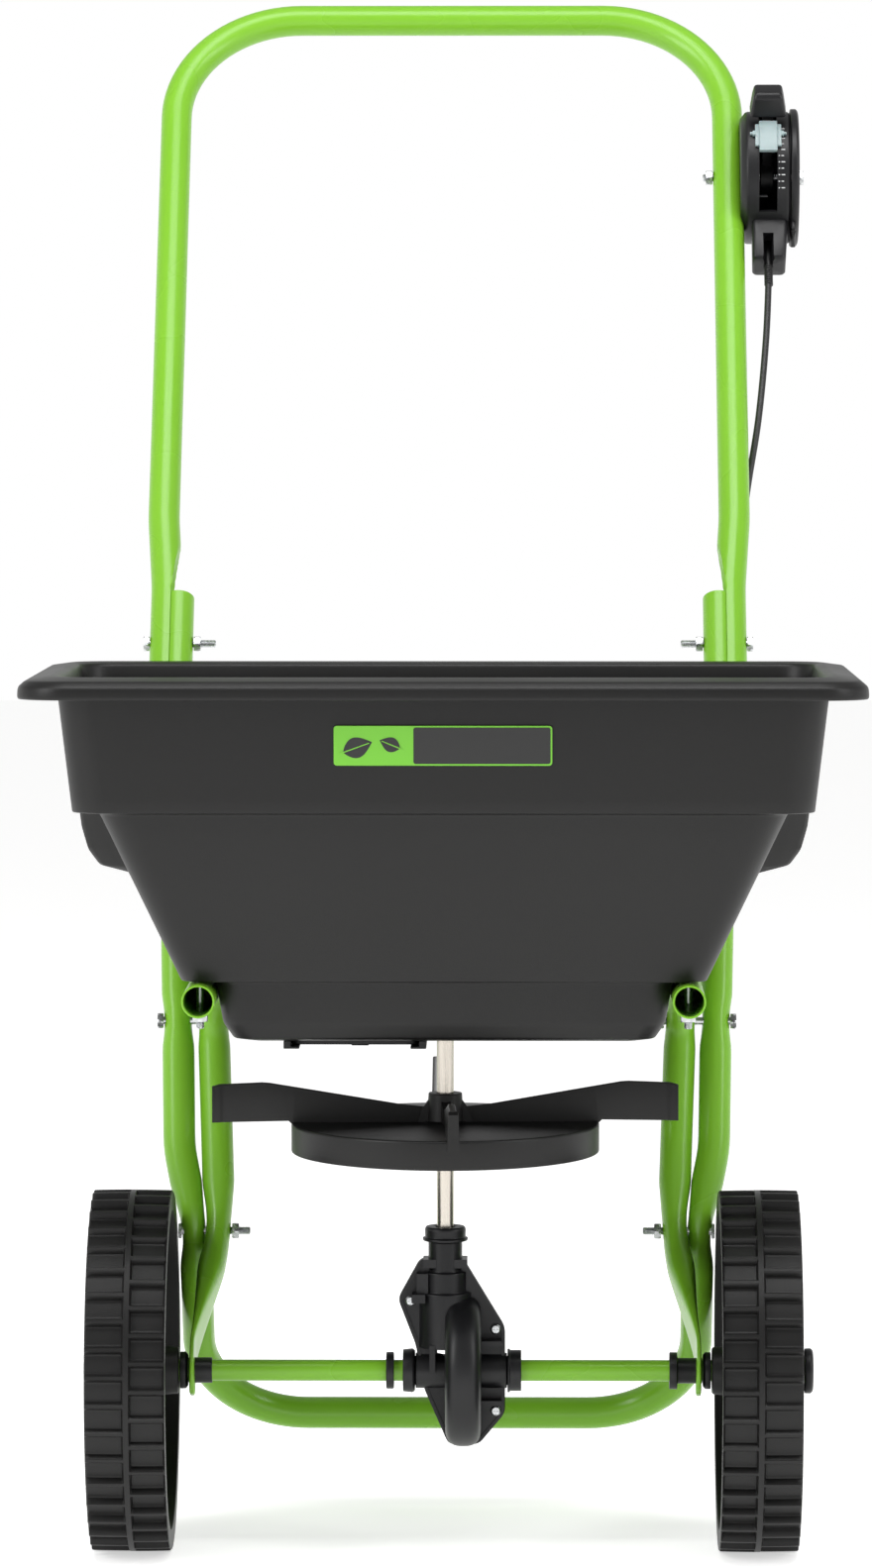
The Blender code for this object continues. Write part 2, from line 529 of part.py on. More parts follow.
# ---- Gearbox: two moulded halves that meet on the plane of the shaft and the axle ----
FLANGE = [(-0.018, 0.080), (-0.0333, 0.0514), (-0.0208, 0.0188), (-0.0153, -0.0117), (0.0021, -0.052),
          (0.0236, -0.052), (0.042, -0.0298), (0.042, 0.0313), (0.0125, 0.080)]
GEARBOX_SCREWS = [(-0.0245, 0.0500), (0.0355, 0.0300), (0.0355, -0.0280)]


def gearbox_half(name, side):
    upright = on_shaft() @ Matrix.Rotation(math.pi / 2, 4, "X")
    sideways = on_shaft() @ Matrix.Rotation(math.pi / 2, 4, "Y")
    body = prism(name, FLANGE, 0.0035, upright, NYLON)
    solids = [
        turned(f"{name}_bulge", [(0, 0.0252), (0.046, 0.0252), (0.051, 0.0230), (0.0533, 0.0185), (0.0533, 0.0065),
                                 (0.051, 0.0020), (0.046, 0.0), (0, 0.0)], sideways, steps=32, hidden=True, closed=False),
        turned(f"{name}_barrel", [(0, 0.0920), (0.0121, 0.0920), (0.0121, 0.0705), (0.0150, 0.0705), (0.0150, 0.0560),
                                  (0.0185, 0.0560), (0.0185, 0.0170), (0, 0.0170)], on_shaft(), steps=20, hidden=True,
               closed=False),
        turned(f"{name}_boss", [(0, 0.0434), (0.0130, 0.0434), (0.0130, -0.0209), (0, -0.0209)], sideways, steps=20,
               hidden=True, closed=False)]
    hollows = [
        turned(f"{name}_gear_room", [(0, 0.0226), (0.0492, 0.0226), (0.0492, 0.0027), (0, 0.0027)], sideways, steps=32,
               hidden=True, closed=False),
        turned(f"{name}_pinion_room", [(0, 0.0580), (0.0138, 0.0580), (0.0138, 0.0220), (0, 0.0220)], on_shaft(),
               steps=20, hidden=True, closed=False),
        turned(f"{name}_shaft_bore", [(0, 0.10), (0.0067, 0.10), (0.0067, 0.01), (0, 0.01)], on_shaft(), steps=16,
               hidden=True, closed=False),
        turned(f"{name}_axle_bore", [(0, 0.06), (0.0105, 0.06), (0.0105, -0.04), (0, -0.04)], sideways, steps=16,
               hidden=True, closed=False),
        rods(f"{name}_screw_holes", [(Vector((x, -0.01, z)), Vector((x, 0.01, z)), 0.0021) for x, z in GEARBOX_SCREWS],
             hidden=True, sides=8, place=on_shaft()),
        box(f"{name}_other_half", (-0.09, -0.09 if side > 0 else -0.00015, -0.09),
            (0.09, 0.00015 if side > 0 else 0.09, 0.12), hidden=True, place=on_shaft())]
    for solid in solids:
        boolean(body, solid, "UNION")
    for hollow in hollows:
        boolean(body, hollow)
    return body


gearbox_half("gearbox_front", -1)
gearbox_half("gearbox_rear", 1)
turned("gearbox_cap", [(0.0142, 0.1025), (0.0142, 0.0945), (0.0160, 0.0945), (0.0160, 0.0925), (0.0067, 0.0925),
                       (0.0067, 0.1025)], on_shaft(), NYLON, 20)
fasteners([f"gearbox_screw_{index}" for index in (1, 2, 3)], bolt_profile(0.0038, 0.0026, 0.0017, 0.0068),
          [on_shaft(x, -0.0038, z) @ Matrix.Rotation(math.pi / 2, 4, "X") for x, z in GEARBOX_SCREWS], 6)

# ---- Axle and what is on it ----
AXLE_LEFT, AXLE_RIGHT = -0.2505, 0.2520
rods("axle", [(at(AXLE_LEFT, 0, WHEEL_RADIUS), at(AXLE_RIGHT, 0, WHEEL_RADIUS), AXLE_RADIUS)], GREEN, sides=16)
smooth(bpy.data.objects["axle"])
turned("gearbox_bush_left", [(0.0155, 0.0298), (0.0155, 0.0213), (0.0101, 0.0213), (0.0101, 0.0110), (AXLE_BORE, 0.0110),
                             (AXLE_BORE, 0.0298)], along_x(0, 0, WHEEL_RADIUS, -1), NYLON, 20)
turned("gearbox_bush_right", [(0.0145, 0.0534), (0.0145, 0.0437), (0.0101, 0.0437), (0.0101, 0.0340),
                              (AXLE_BORE, 0.0340), (AXLE_BORE, 0.0534)], along_x(0, 0, WHEEL_RADIUS, 1), NYLON, 20)
turned("axle_collar", ring(0.0130, AXLE_BORE, 0.0361, 0.0416), along_x(0, 0, WHEEL_RADIUS, -1), NYLON, 20)
turned("axle_bush_left", ring(0.0090, AXLE_BORE, 0.1640, 0.1806), along_x(0, 0, WHEEL_RADIUS, -1), NYLON, 20)
turned("axle_bush_right", [(0.0090, 0.1806), (0.0090, 0.1630), (0.0130, 0.1630), (0.0130, 0.1575),
                           (AXLE_BORE, 0.1575), (AXLE_BORE, 0.1806)], along_x(0, 0, WHEEL_RADIUS, 1), NYLON, 20)
for side, word in ((-1, "left"), (1, "right")):
    turned(f"wheel_spacer_{word}", ring(0.0130, AXLE_BORE, 0.1810, 0.1866), along_x(0, 0, WHEEL_RADIUS, side), NYLON, 20)

# ---- Wheels: moulded ring, web and hub; a flat of the tread is downwards ----
WHEEL_STEPS = 32
TREAD = WHEEL_RADIUS / math.cos(math.pi / WHEEL_STEPS)
WIDTH = WHEEL_OUTER - WHEEL_INNER
WHEEL_PROFILE = [(TREAD - 0.002, WIDTH), (TREAD, WIDTH - 0.002), (TREAD, 0.002), (TREAD - 0.002, 0.0), (0.1130, 0.0),
                 (0.1110, 0.0250), (0.0200, 0.0250), (0.0165, 0.0200), (0.0165, -0.0048), (0.0081, -0.0048),
                 (0.0081, WIDTH + 0.0020), (0.0165, WIDTH + 0.0020), (0.0200, 0.0310), (0.1110, 0.0310),
                 (0.1130, WIDTH)]
for side, word in ((-1, "left"), (1, "right")):
    place = along_x(side * WHEEL_INNER, 0, WHEEL_RADIUS, side) @ Matrix.Rotation(math.pi / WHEEL_STEPS, 4, "Z")
    turned(f"wheel_{word}", WHEEL_PROFILE, place, BLACK, WHEEL_STEPS)
turned("hub_cap_right", [(0.0, 0.2586), (0.0140, 0.2586), (0.0160, 0.2570), (0.0160, 0.2525), (0.0, 0.2525)],
       along_x(0, 0, WHEEL_RADIUS, 1), NYLON, 20, closed=False)
turned("axle_clip_left", [(0.0, 0.2546), (0.0090, 0.2546), (0.0100, 0.2536), (0.0100, 0.2510), (0.0, 0.2510)],
       along_x(0, 0, WHEEL_RADIUS, -1), ZINC, 16, closed=False)

# ---- Rate control on the right handle tube ----
SHELL_LEFT, SHELL_SPLIT, SHELL_RIGHT = 0.2180, 0.2557, 0.2620
pivot = at(0, control_tube_y, CONTROL_Z)
SLOT_HALF, SHELL_WALL, SADDLE_WALL = 0.0068, 0.0028, 0.0048
SLOT_FROM, SLOT_TO = math.radians(-32), math.radians(72)


def fan(inner, outer, low, high, count=8):
    """A sector between two radii, in a plane whose X points forward and whose Y points up."""
    turns = [low + (high - low) * i / count for i in range(count + 1)]
    return ([(outer * math.cos(t), outer * math.sin(t)) for t in turns]
            + [(inner * math.cos(t), inner * math.sin(t)) for t in reversed(turns)])


def beside(x):
    """A place at the control's pivot whose own X points forward, Y up and Z to the left."""
    turn = Matrix(((0, 0, -1, 0), (-1, 0, 0, 0), (0, 1, 0, 0), (0, 0, 0, 1)))
    return Matrix.Translation(pivot + Vector((x, 0, 0))) @ turn


def lying(low, high, from_t, to_t, thick, name, **more):
    """A block along the handle tube, below or above the pivot, between two X values."""
    lean = Matrix.Rotation(-HANDLE_LEAN, 4, "X")
    return box(name, (low, -thick, from_t), (high, thick, to_t), place=Matrix.Translation(pivot) @ lean, **more)


slot = prism("lever_slot", fan(0.030, 0.060, SLOT_FROM, SLOT_TO), SLOT_HALF, beside(CONTROL_X), hidden=True)
control_line = pivot + Vector((CONTROL_X, 0, 0))
tube_line = pivot + Vector((HANDLE_HALF, 0, 0))
cable_socket = rods("cable_socket", [(control_line - joint_line * 0.095, control_line - joint_line * 0.040, 0.0036)],
                    hidden=True, sides=12)
saddle = rods("saddle", [(tube_line - joint_line * 0.070, tube_line + joint_line * 0.070, TUBE_RADIUS + 0.0004)],
              hidden=True, sides=24)
for word, low, high, radius, arm, room in (
        ("left", SHELL_LEFT, SHELL_SPLIT - 0.00015, CONTROL_RADIUS, (0.2266, 0.2543, -0.084),
         (SHELL_LEFT + SADDLE_WALL, SHELL_SPLIT + 0.001)),
        ("right", SHELL_SPLIT + 0.00015, SHELL_RIGHT, CONTROL_RADIUS + 0.002, (SHELL_SPLIT + 0.00015, 0.2595, -0.058),
         (SHELL_SPLIT - 0.001, SHELL_RIGHT - SHELL_WALL))):
    soft_low, soft_high = (0.003, 0.0) if word == "left" else (0.0, 0.002)
    shell = turned(f"control_shell_{word}", [(0, high), (radius - soft_high, high), (radius, high - soft_high),
                                             (radius, low + soft_low), (radius - soft_low, low), (0, low)],
                   along_x(0, control_tube_y, CONTROL_Z, 1), NYLON, 32, closed=False)
    boolean(shell, lying(arm[0], arm[1], arm[2], -0.040, 0.0120, f"arm_{word}", hidden=True), "UNION")
    inside = CONTROL_RADIUS - SHELL_WALL
    boolean(shell, turned(f"room_{word}", [(0, room[1]), (inside, room[1]), (inside, room[0]), (0, room[0])],
                          along_x(0, control_tube_y, CONTROL_Z, 1), steps=32, hidden=True, closed=False))
    for cutter in (slot, cable_socket, saddle, control_cutter) if word == "left" else (control_cutter,):
        boolean(shell, cutter)

LEVER_RING = [(0.0140 * math.cos(math.tau * i / 16), 0.0140 * math.sin(math.tau * i / 16)) for i in range(16)]
lever = prism("rate_lever", LEVER_RING, 0.0050, beside(CONTROL_X), NYLON)
arm_turn = Matrix.Rotation(LEVER_ANGLE, 4, "Z")
lever_arm = box("lever_arm", (0.008, -0.0045, -0.0040), (0.062, 0.0045, 0.0040), hidden=True,
                place=beside(CONTROL_X) @ arm_turn)
KNOB = [(0.0555, -0.0085), (0.0720, -0.0100), (0.0760, -0.0070), (0.0760, 0.0080), (0.0700, 0.0100), (0.0555, 0.0070)]
knob = prism("lever_knob", KNOB, 0.0135, beside(CONTROL_X) @ arm_turn, hidden=True)
knob_edge = knob.modifiers.new("edges", "BEVEL")
knob_edge.width, knob_edge.segments = 0.0018, 2
boolean(lever, lever_arm, "UNION")
boolean(lever, knob, "UNION")
boolean(lever, rods("lever_bore", [(pivot + Vector((0.22, 0, 0)), pivot + Vector((0.26, 0, 0)), DRILL)],
                    hidden=True, sides=12))
stop = prism("rate_pointer", fan(0.0503, 0.0548, math.radians(21), math.radians(50), 6), 0.0098, beside(CONTROL_X), GREY)
boolean(stop, prism("pointer_tips", fan(0.0505, 0.0530, math.radians(36), math.radians(41), 1), 0.0138,
                    beside(CONTROL_X), hidden=True), "UNION")
turned("control_bolt", bolt_profile(0.0065, 0.0045, SHANK, 0.0720), along_x(SHELL_RIGHT + GAP, control_tube_y,
                                                                          CONTROL_Z, 1), ZINC, 8, closed=False)
turned("control_nut", ring(0.0064, 0.0038, -0.0058, 0.0), along_x(HANDLE_HALF - TUBE_RADIUS - 0.0004, control_tube_y,
                                                                CONTROL_Z, 1), ZINC, 6)
# ---- Cable from the control down behind the hopper to the shutter ----
CABLE_RADIUS = 0.0025
cable_top = pivot + Vector((CONTROL_X, 0, 0)) - joint_line * 0.0800
cable_out = pivot + Vector((CONTROL_X, 0, 0)) - joint_line * 0.0950
ROUTE = [cable_top, cable_out, at(0.2355, 0.366, 0.853), at(0.2290, 0.331, 0.795), at(0.2190, 0.306, 0.735),
         at(0.2090, 0.262, 0.655), at(0.1850, 0.220, 0.570), at(0.1300, 0.178, 0.480), at(0.0400, 0.160, 0.395),
         at(-0.0350, 0.152, 0.3605), at(WIRE_X, 0.128, WIRE_Z), at(WIRE_X, 0.1046, WIRE_Z)]


def smooth_route(points, step):
    """Points on the Catmull-Rom curve through the route, about a step apart."""
    padded = [2 * points[0] - points[1], *points, 2 * points[-1] - points[-2]]
    made = []
    for a, b, c, d in zip(padded, padded[1:], padded[2:], padded[3:]):
        count = max(1, round((c - b).length / step))
        for i in range(count):
            t = i / count
            made.append(0.5 * ((2 * b) + (c - a) * t + (2 * a - 5 * b + 4 * c - d) * t * t
                               + (3 * b - a - 3 * c + d) * t * t * t))
    return made + [points[-1]]


tube("cable", smooth_route(ROUTE, 0.020), CABLE_RADIUS, RUBBER, 2)
bpy.context.view_layer.update()
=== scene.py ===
import math

import bpy
import numpy as np
from mathutils import Matrix, Vector


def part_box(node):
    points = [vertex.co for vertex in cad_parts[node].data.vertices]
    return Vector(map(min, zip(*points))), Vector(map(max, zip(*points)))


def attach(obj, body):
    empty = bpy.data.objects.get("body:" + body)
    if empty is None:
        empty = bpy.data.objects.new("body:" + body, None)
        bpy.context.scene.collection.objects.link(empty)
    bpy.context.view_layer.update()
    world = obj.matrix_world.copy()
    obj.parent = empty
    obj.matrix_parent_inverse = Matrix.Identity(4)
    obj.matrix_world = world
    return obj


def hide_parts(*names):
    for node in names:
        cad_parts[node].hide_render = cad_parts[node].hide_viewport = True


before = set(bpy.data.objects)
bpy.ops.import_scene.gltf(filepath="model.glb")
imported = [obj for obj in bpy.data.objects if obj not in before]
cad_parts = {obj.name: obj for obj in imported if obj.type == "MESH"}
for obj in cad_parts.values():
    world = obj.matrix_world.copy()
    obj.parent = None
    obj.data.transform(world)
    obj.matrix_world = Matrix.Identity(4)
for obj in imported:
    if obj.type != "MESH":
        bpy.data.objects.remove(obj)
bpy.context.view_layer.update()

# ---- Studio ----
# A pale seamless floor that glows faintly, a bright room and three soft boxes, with a long lens before the
# spreader at about chest height, looking slightly down.
axle_low, axle_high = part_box("axle")
AXLE_Y, AXLE_Z = (axle_low.y + axle_high.y) / 2, (axle_low.z + axle_high.z) / 2
CAMERA_AWAY, CAMERA_HEIGHT, CAMERA_SIDE = 5.40, 0.812, 0.053
LOOK_DOWN, LOOK_LEFT, LENS = math.radians(2.88), math.atan2(CAMERA_SIDE + 0.0066, CAMERA_AWAY), 177.0


def srgb(code):
    """An sRGB hex colour as linear red, green, blue and alpha."""
    values = [int(code[i:i + 2], 16) / 255 for i in (1, 3, 5)]
    return tuple(v / 12.92 if v <= 0.04045 else ((v + 0.055) / 1.055) ** 2.4 for v in values) + (1.0,)


def add(tree, kind, settings, links=None):
    """One node; settings are its properties or else its inputs, links are inputs and what feeds them."""
    made = tree.nodes.new(kind)
    for key, value in settings.items():
        if isinstance(key, str) and hasattr(made, key):
            setattr(made, key, value)
        else:
            made.inputs[key].default_value = value
    for key, source in (links or {}).items():
        tree.links.new(source, made.inputs[key])
    return made


def new_material(name, settings):
    """A material's name and Principled settings; gives the material, its tree and its shader."""
    made = bpy.data.materials.new(name)
    made.use_nodes = True
    shader = made.node_tree.nodes["Principled BSDF"]
    for key, value in settings.items():
        shader.inputs[key].default_value = value
    return made, made.node_tree, shader


scene = bpy.context.scene
scene.view_settings.view_transform = "Standard"
camera_data = bpy.data.cameras.new("camera")
camera_data.lens, camera_data.sensor_width, camera_data.clip_end = LENS, 36.0, 60.0
camera = bpy.data.objects.new("camera", camera_data)
camera.location = (CAMERA_SIDE, AXLE_Y - CAMERA_AWAY, CAMERA_HEIGHT)
camera.rotation_euler = (math.pi / 2 - LOOK_DOWN, 0, LOOK_LEFT)
scene.collection.objects.link(camera)
scene.camera = camera

world = bpy.data.worlds.new("room")
world.use_nodes = True
tree = world.node_tree
sky = tree.nodes["Background"]
sky.inputs["Strength"].default_value = 1.0
way = add(tree, "ShaderNodeSeparateXYZ", {}, {0: add(tree, "ShaderNodeTexCoord", {}).outputs["Generated"]})
height = add(tree, "ShaderNodeMapRange", {"interpolation_type": "SMOOTHSTEP", "From Min": 0.10,
                                          "From Max": 0.55,
                                          "To Min": 1.0, "To Max": 0.42}, {"Value": way.outputs["Z"]})
depth = add(tree, "ShaderNodeMapRange", {"interpolation_type": "SMOOTHSTEP", "From Min": -0.9,
                                         "From Max": 0.5,
                                         "To Min": 0.62, "To Max": 1.0}, {"Value": way.outputs["Y"]})
light = add(tree, "ShaderNodeMath", {"operation": "MULTIPLY"}, {0: height.outputs["Result"],
                                                                1: depth.outputs["Result"]})
tree.links.new(light.outputs["Value"], sky.inputs["Color"])
scene.world = world
for name, place, size, power in (("box_left", (-2.8, -2.2, 2.3), (1.2, 2.6), 70),
                                 ("box_right", (3.0, -1.8, 2.2), (0.9, 2.6), 45),
                                 ("box_top", (0.1, -1.2, 3.6), (2.6, 1.6), 75)):
    lamp = bpy.data.lights.new(name, "AREA")
    lamp.shape, lamp.size, lamp.size_y, lamp.energy = "RECTANGLE", *size, power
    light = bpy.data.objects.new(name, lamp)
    light.location = place
    light.rotation_euler = (Vector((0, 0, 0.55)) - Vector(place)).to_track_quat("-Z", "Y").to_euler()
    scene.collection.objects.link(light)


def surface(name, grid, around=True, along=False, ends=True):
    """A mesh from a grid of points, rows by columns: columns close round where around is set, rows where
    along is set, and otherwise the first and last rows are closed by a pole at their middle."""
    grid = np.asarray(grid, float)
    rows, columns = grid.shape[:2]
    index = np.arange(rows * columns).reshape(rows, columns)
    if around:
        index = np.hstack([index, index[:, :1]])
    if along:
        index = np.vstack([index, index[:1]])
    quads = np.stack([index[:-1, :-1], index[:-1, 1:], index[1:, 1:], index[1:, :-1]], -1).reshape(-1, 4)
    points, faces = grid.reshape(-1, 3), quads.tolist()
    if ends and not along:
        points = np.vstack([points, grid[0].mean(0), grid[-1].mean(0)])
        first, last = rows * columns, rows * columns + 1
        faces += np.stack([index[0, 1:], index[0, :-1], np.full(index.shape[1] - 1, first)], 1).tolist()
        faces += np.stack([index[-1, :-1], index[-1, 1:], np.full(index.shape[1] - 1, last)], 1).tolist()
    a, b, c, d = (points[quads[:, i]] for i in range(4))
    if np.einsum("ij,ij->i", a, np.cross(b, c) + np.cross(c, d)).sum() < 0 and (ends or along):
        faces = [face[::-1] for face in faces]
    data = bpy.data.meshes.new(name)
    data.from_pydata(points.tolist(), [], faces)
    data.validate()
    piece = bpy.data.objects.new(name, data)
    scene.collection.objects.link(piece)
    return piece


def fit(piece, finish, body, slot, *nodes, sharp=34):
    """Gives a piece its finish and shading, and tells the frame what it rides on and stands for."""
    piece.data.materials.clear()
    piece.data.materials.append(finish)
    piece.data.shade_smooth()
    piece.data.set_sharp_from_angle(angle=math.radians(sharp))
    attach(piece, body)
    if nodes:
        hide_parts(*nodes)
    return piece


FLOOR_SIZE = 30.0
sides = np.linspace(-FLOOR_SIZE / 2, FLOOR_SIZE / 2, 3)
floor = surface("floor", np.stack([*np.meshgrid(sides, sides), np.zeros((3, 3))], -1), around=False,
                ends=False)
paper, tree, shader = new_material("seamless_paper", {
    "Base Color": srgb("#F6F6F5"), "Roughness": 0.85, "Emission Color": srgb("#FFFFFF"),
    "Emission Strength": 0.55})
floor.data.materials.append(paper)


# ---- Frame tubes ----
# 23 mm steel tube, bent cold, pressed flat where it is bolted or carries the axle, then powder coated:
# the lower handle and stand are one tube, and each side tube is a rail that turns down into a leg.
TUBE, TUBE_WALL = 0.0115, 0.0014
HANDLE_LEAN = math.radians(36)
JOINT = (0.197, 0.205, 0.632)
LOWER_BOLT, UPPER_BOLT = (0.080, 0.217), (0.1085, 0.365)

# Powder coat, sprayed and baked: an even, glossy skin with the slight waves of flowed powder.
powder_coat, tree, shader = new_material("powder_coat_green", {
    "Base Color": srgb("#76B12A"), "Roughness": 0.24, "Specular IOR Level": 0.42})
place_in_object = add(tree, "ShaderNodeTexCoord", {}).outputs["Object"]
flow = add(tree, "ShaderNodeTexNoise", {"Scale": 420.0, "Detail": 2.0}, {"Vector": place_in_object})
bump = add(tree, "ShaderNodeBump", {"Strength": 0.10, "Distance": 0.0006}, {"Height": flow.outputs["Fac"]})
cloud = add(tree, "ShaderNodeTexNoise", {"Scale": 9.0, "Detail": 3.0}, {"Vector": place_in_object})
shades = add(tree, "ShaderNodeMix", {"data_type": "RGBA", 6: srgb("#72AE25"), 7: srgb("#7BB52E")},
             {0: cloud.outputs["Fac"]})
gloss = add(tree, "ShaderNodeMapRange", {"To Min": 0.20, "To Max": 0.34}, {"Value": cloud.outputs["Fac"]})
tree.links.new(shades.outputs[2], shader.inputs["Base Color"])
tree.links.new(gloss.outputs["Result"], shader.inputs["Roughness"])
tree.links.new(bump.outputs["Normal"], shader.inputs["Normal"])


TIPPED = Matrix.Rotation(math.pi / 2, 4, "X")


def at(x, y, z):
    """A point given from the middle plane, the axle and the floor."""
    return np.array((x, AXLE_Y + y, z))


def standing(x, y, z):
    """The same place, as a matrix."""
    return Matrix.Translation(Vector(at(x, y, z)))


def bent(corners, radii, step=math.radians(4), run=0.006):
    """The corners joined by straight runs, with an arc of its radius at each inner corner; straight runs
    carry a point every run metres."""
    corners = [np.asarray(corner, float) for corner in corners]
    path = [corners[0]]
    for before, corner, after, radius in zip(corners, corners[1:], corners[2:], radii):
        back, ahead = before - corner, after - corner
        back, ahead = back / np.linalg.norm(back), ahead / np.linalg.norm(ahead)
        turn = math.pi - math.acos(float(np.clip(back @ ahead, -1, 1)))
        middle = (back + ahead) / np.linalg.norm(back + ahead)
        centre = corner + middle * radius / math.cos(turn / 2)
        start = corner + back * radius * math.tan(turn / 2) - centre
        other = np.cross(np.cross(start, -middle), start)
        other *= radius / np.linalg.norm(other)
        count = max(3, round(turn / step))
        path += [centre + start * math.cos(turn * i / count) + other * math.sin(turn * i / count)
                 for i in range(count + 1)]
    path.append(corners[-1])
    fine = []
    for here, there in zip(path, path[1:]):
        count = max(1, math.ceil(np.linalg.norm(there - here) / run))
        fine += [here + (there - here) * i / count for i in range(count)]
    return np.array(fine + [path[-1]])


def frames_of(path, first):
    """Tangents, and two directions across them that turn as little as possible along the path."""
    ahead = np.gradient(path, axis=0)
    ahead /= np.linalg.norm(ahead, axis=1)[:, None]
    across = [np.asarray(first, float)]
    for tangent in ahead:
        turned_on = across[-1] - tangent * (across[-1] @ tangent)
        across.append(turned_on / np.linalg.norm(turned_on))
    across = np.array(across[1:])
    return ahead, across, np.cross(ahead, across)


def round_tube(name, path, first, thick, wide, power=2.0, open_ends=(0.0, 0.0), columns=40):
    """A tube carried along a path: each row is a superellipse, thick one way and wide the other. An open
    end turns in over the wall and runs back inside by the given depth."""
    ahead, across, up = frames_of(path, first)
    turns = np.linspace(0, math.tau, columns, endpoint=False)
    thick, wide, power = (np.broadcast_to(value, len(path)) for value in (thick, wide, power))
    share = 2 / power[:, None]
    c = np.sign(np.cos(turns)) * np.abs(np.cos(turns)) ** share
    s = np.sign(np.sin(turns)) * np.abs(np.sin(turns)) ** share

    def row(index, grow=0.0, shift=0.0):
        return (path[index] + ahead[index] * shift + np.outer(c[index] * (thick[index] + grow), across[index])
                + np.outer(s[index] * (wide[index] + grow), up[index]))

    edge = 0.0005
    rows = [row(i) for i in range(1, len(path) - 1)]
    for index, depth, sign in ((0, open_ends[0], 1), (len(path) - 1, open_ends[1], -1)):
        lip = [row(index, 0, sign * edge), row(index, -edge, 0)]
        if depth:
            lip += [row(index, edge - TUBE_WALL, 0), row(index, -TUBE_WALL, sign * edge),
                    row(index, -TUBE_WALL, sign * depth)]
        else:
            lip.append(row(index, -3 * edge, 0))
        rows = lip[::-1] + rows if sign > 0 else rows + lip
    return surface(name, rows)


def pressed(path, spots, reach, keep):
    """How much of its thickness a tube keeps near each bolt, a smooth dip of the given reach."""
    left = np.ones(len(path))
    for (y, z), far, least in zip(spots, reach, keep):
        away = np.hypot(path[:, 1] - AXLE_Y - y, path[:, 2] - z) / far
        left = np.minimum(left, 1 - (1 - least) * np.clip(1 - away ** 2, 0, 1) ** 1.5)
    return left


stand_side = [(JOINT[0], 0.2285, 0.6644), (JOINT[0], 0.153, 0.560), (0.1925, 0.110, 0.360),
              (0.191, 0.0922, 0.275),
              (0.1794, *LOWER_BOLT), (0.1798, 0.197, 0.071)]
corners = [at(-x, y, z) for x, y, z in stand_side] + [at(x, y, z) for x, y, z in reversed(stand_side)]
bends = (0.08, 0.2, 0.10, 0.040, 0.078)
path = bent(corners, [*bends, *reversed(bends)])
dip = pressed(path, (LOWER_BOLT, UPPER_BOLT), (0.036, 0.020), (0.75, 0.84))
stand = round_tube("stand_tube", path, (1, 0, 0), TUBE * dip, TUBE * (1.35 - 0.35 * dip),
                   open_ends=(0.03, 0.03))
fit(stand, powder_coat, "frame", "green_powder_coat", "stand_frame")

RAIL, LEG, PLATE = 0.1685, 0.1618, 0.178
PLATE_THICK, PLATE_WIDE, FLATTEN = 0.0018, 0.017, 0.105
rail_z = 0.409 - TUBE - 0.0003
for side, word in ((-1, "left"), (1, "right")):
    corners = [at(side * x, y, z) for x, y, z in (
        (RAIL, -0.130, rail_z), (RAIL, 0.118, rail_z), (LEG, *LOWER_BOLT), (PLATE, 0.012, 0.140),
        (PLATE, -0.0118, 0.1135))]
    path = bent(corners, (0.040, 0.075, 0.060), run=0.003)
    lengths = np.concatenate([[0], np.cumsum(np.linalg.norm(np.diff(path, axis=0), axis=1))])
    left = lengths[-1] - lengths
    flat = np.clip(1 - (left - 0.030) / FLATTEN, 0, 1)
    flat = flat ** 2 * (3 - 2 * flat)
    dip = pressed(path, (LOWER_BOLT, UPPER_BOLT), (0.036, 0.020), (0.75, 0.90))
    thick = TUBE * dip + (PLATE_THICK - TUBE * dip) * flat
    wide = TUBE * (1.35 - 0.35 * dip) + (PLATE_WIDE - TUBE) * flat
    wide *= np.sqrt(np.clip(1 - np.clip(1 - left / PLATE_WIDE, 0, 1) ** 2, 0.04, 1))
    leg = round_tube(f"side_tube_{word}", path, (1, 0, 0), thick, wide, 2 + 3 * flat, open_ends=(0.19, 0))
    fit(leg, powder_coat, "frame", "green_powder_coat", f"side_tube_{word}")


# ---- Handle ----
# One tube bent to a wide U; its lower ends are pressed round the frame's upper ends and bolted there.
HANDLE_HALF, NEST_HALF, HANDLE_LENGTH = 0.2095, 0.2055, 0.5785
lean_line = np.array((0, math.sin(HANDLE_LEAN), math.cos(HANDLE_LEAN)))
joint = at(0, *JOINT[1:])
handle_side = [(NEST_HALF, -0.026), (NEST_HALF, 0.050), (HANDLE_HALF, 0.110), (HANDLE_HALF, HANDLE_LENGTH)]
corners = [joint + lean_line * t - (x, 0, 0) for x, t in handle_side]
corners += [joint + lean_line * t + (x, 0, 0) for x, t in reversed(handle_side)]
path = bent(corners, (0.2, 0.2, 0.094, 0.094, 0.2, 0.2), run=0.004)
handle = round_tube("handle_tube", path, (1, 0, 0), TUBE, TUBE, open_ends=(0, 0), columns=48)
points = np.array([vertex.co for vertex in handle.data.vertices])
NEST_END, NEST_FADE, OPEN = 0.041, 0.055, 0.0035
across_line = np.array((0, math.cos(HANDLE_LEAN), -math.sin(HANDLE_LEAN)))
for side in (-1, 1):
    base = joint + (side * JOINT[0], 0, 0)
    along, across = (points - base) @ lean_line, (points - base) @ across_line
    share = np.clip(1 - (along - NEST_END) / NEST_FADE, 0, 1)
    reach = np.sqrt(np.clip((TUBE + 0.0004) ** 2 - across ** 2, 0, None))
    limit = share * (reach + OPEN) - OPEN
    out = side * (points[:, 0] - base[0])
    inner = (out < limit) & (share > 0) & (side * points[:, 0] > 0)
    points[inner, 0] = base[0] + side * limit[inner]
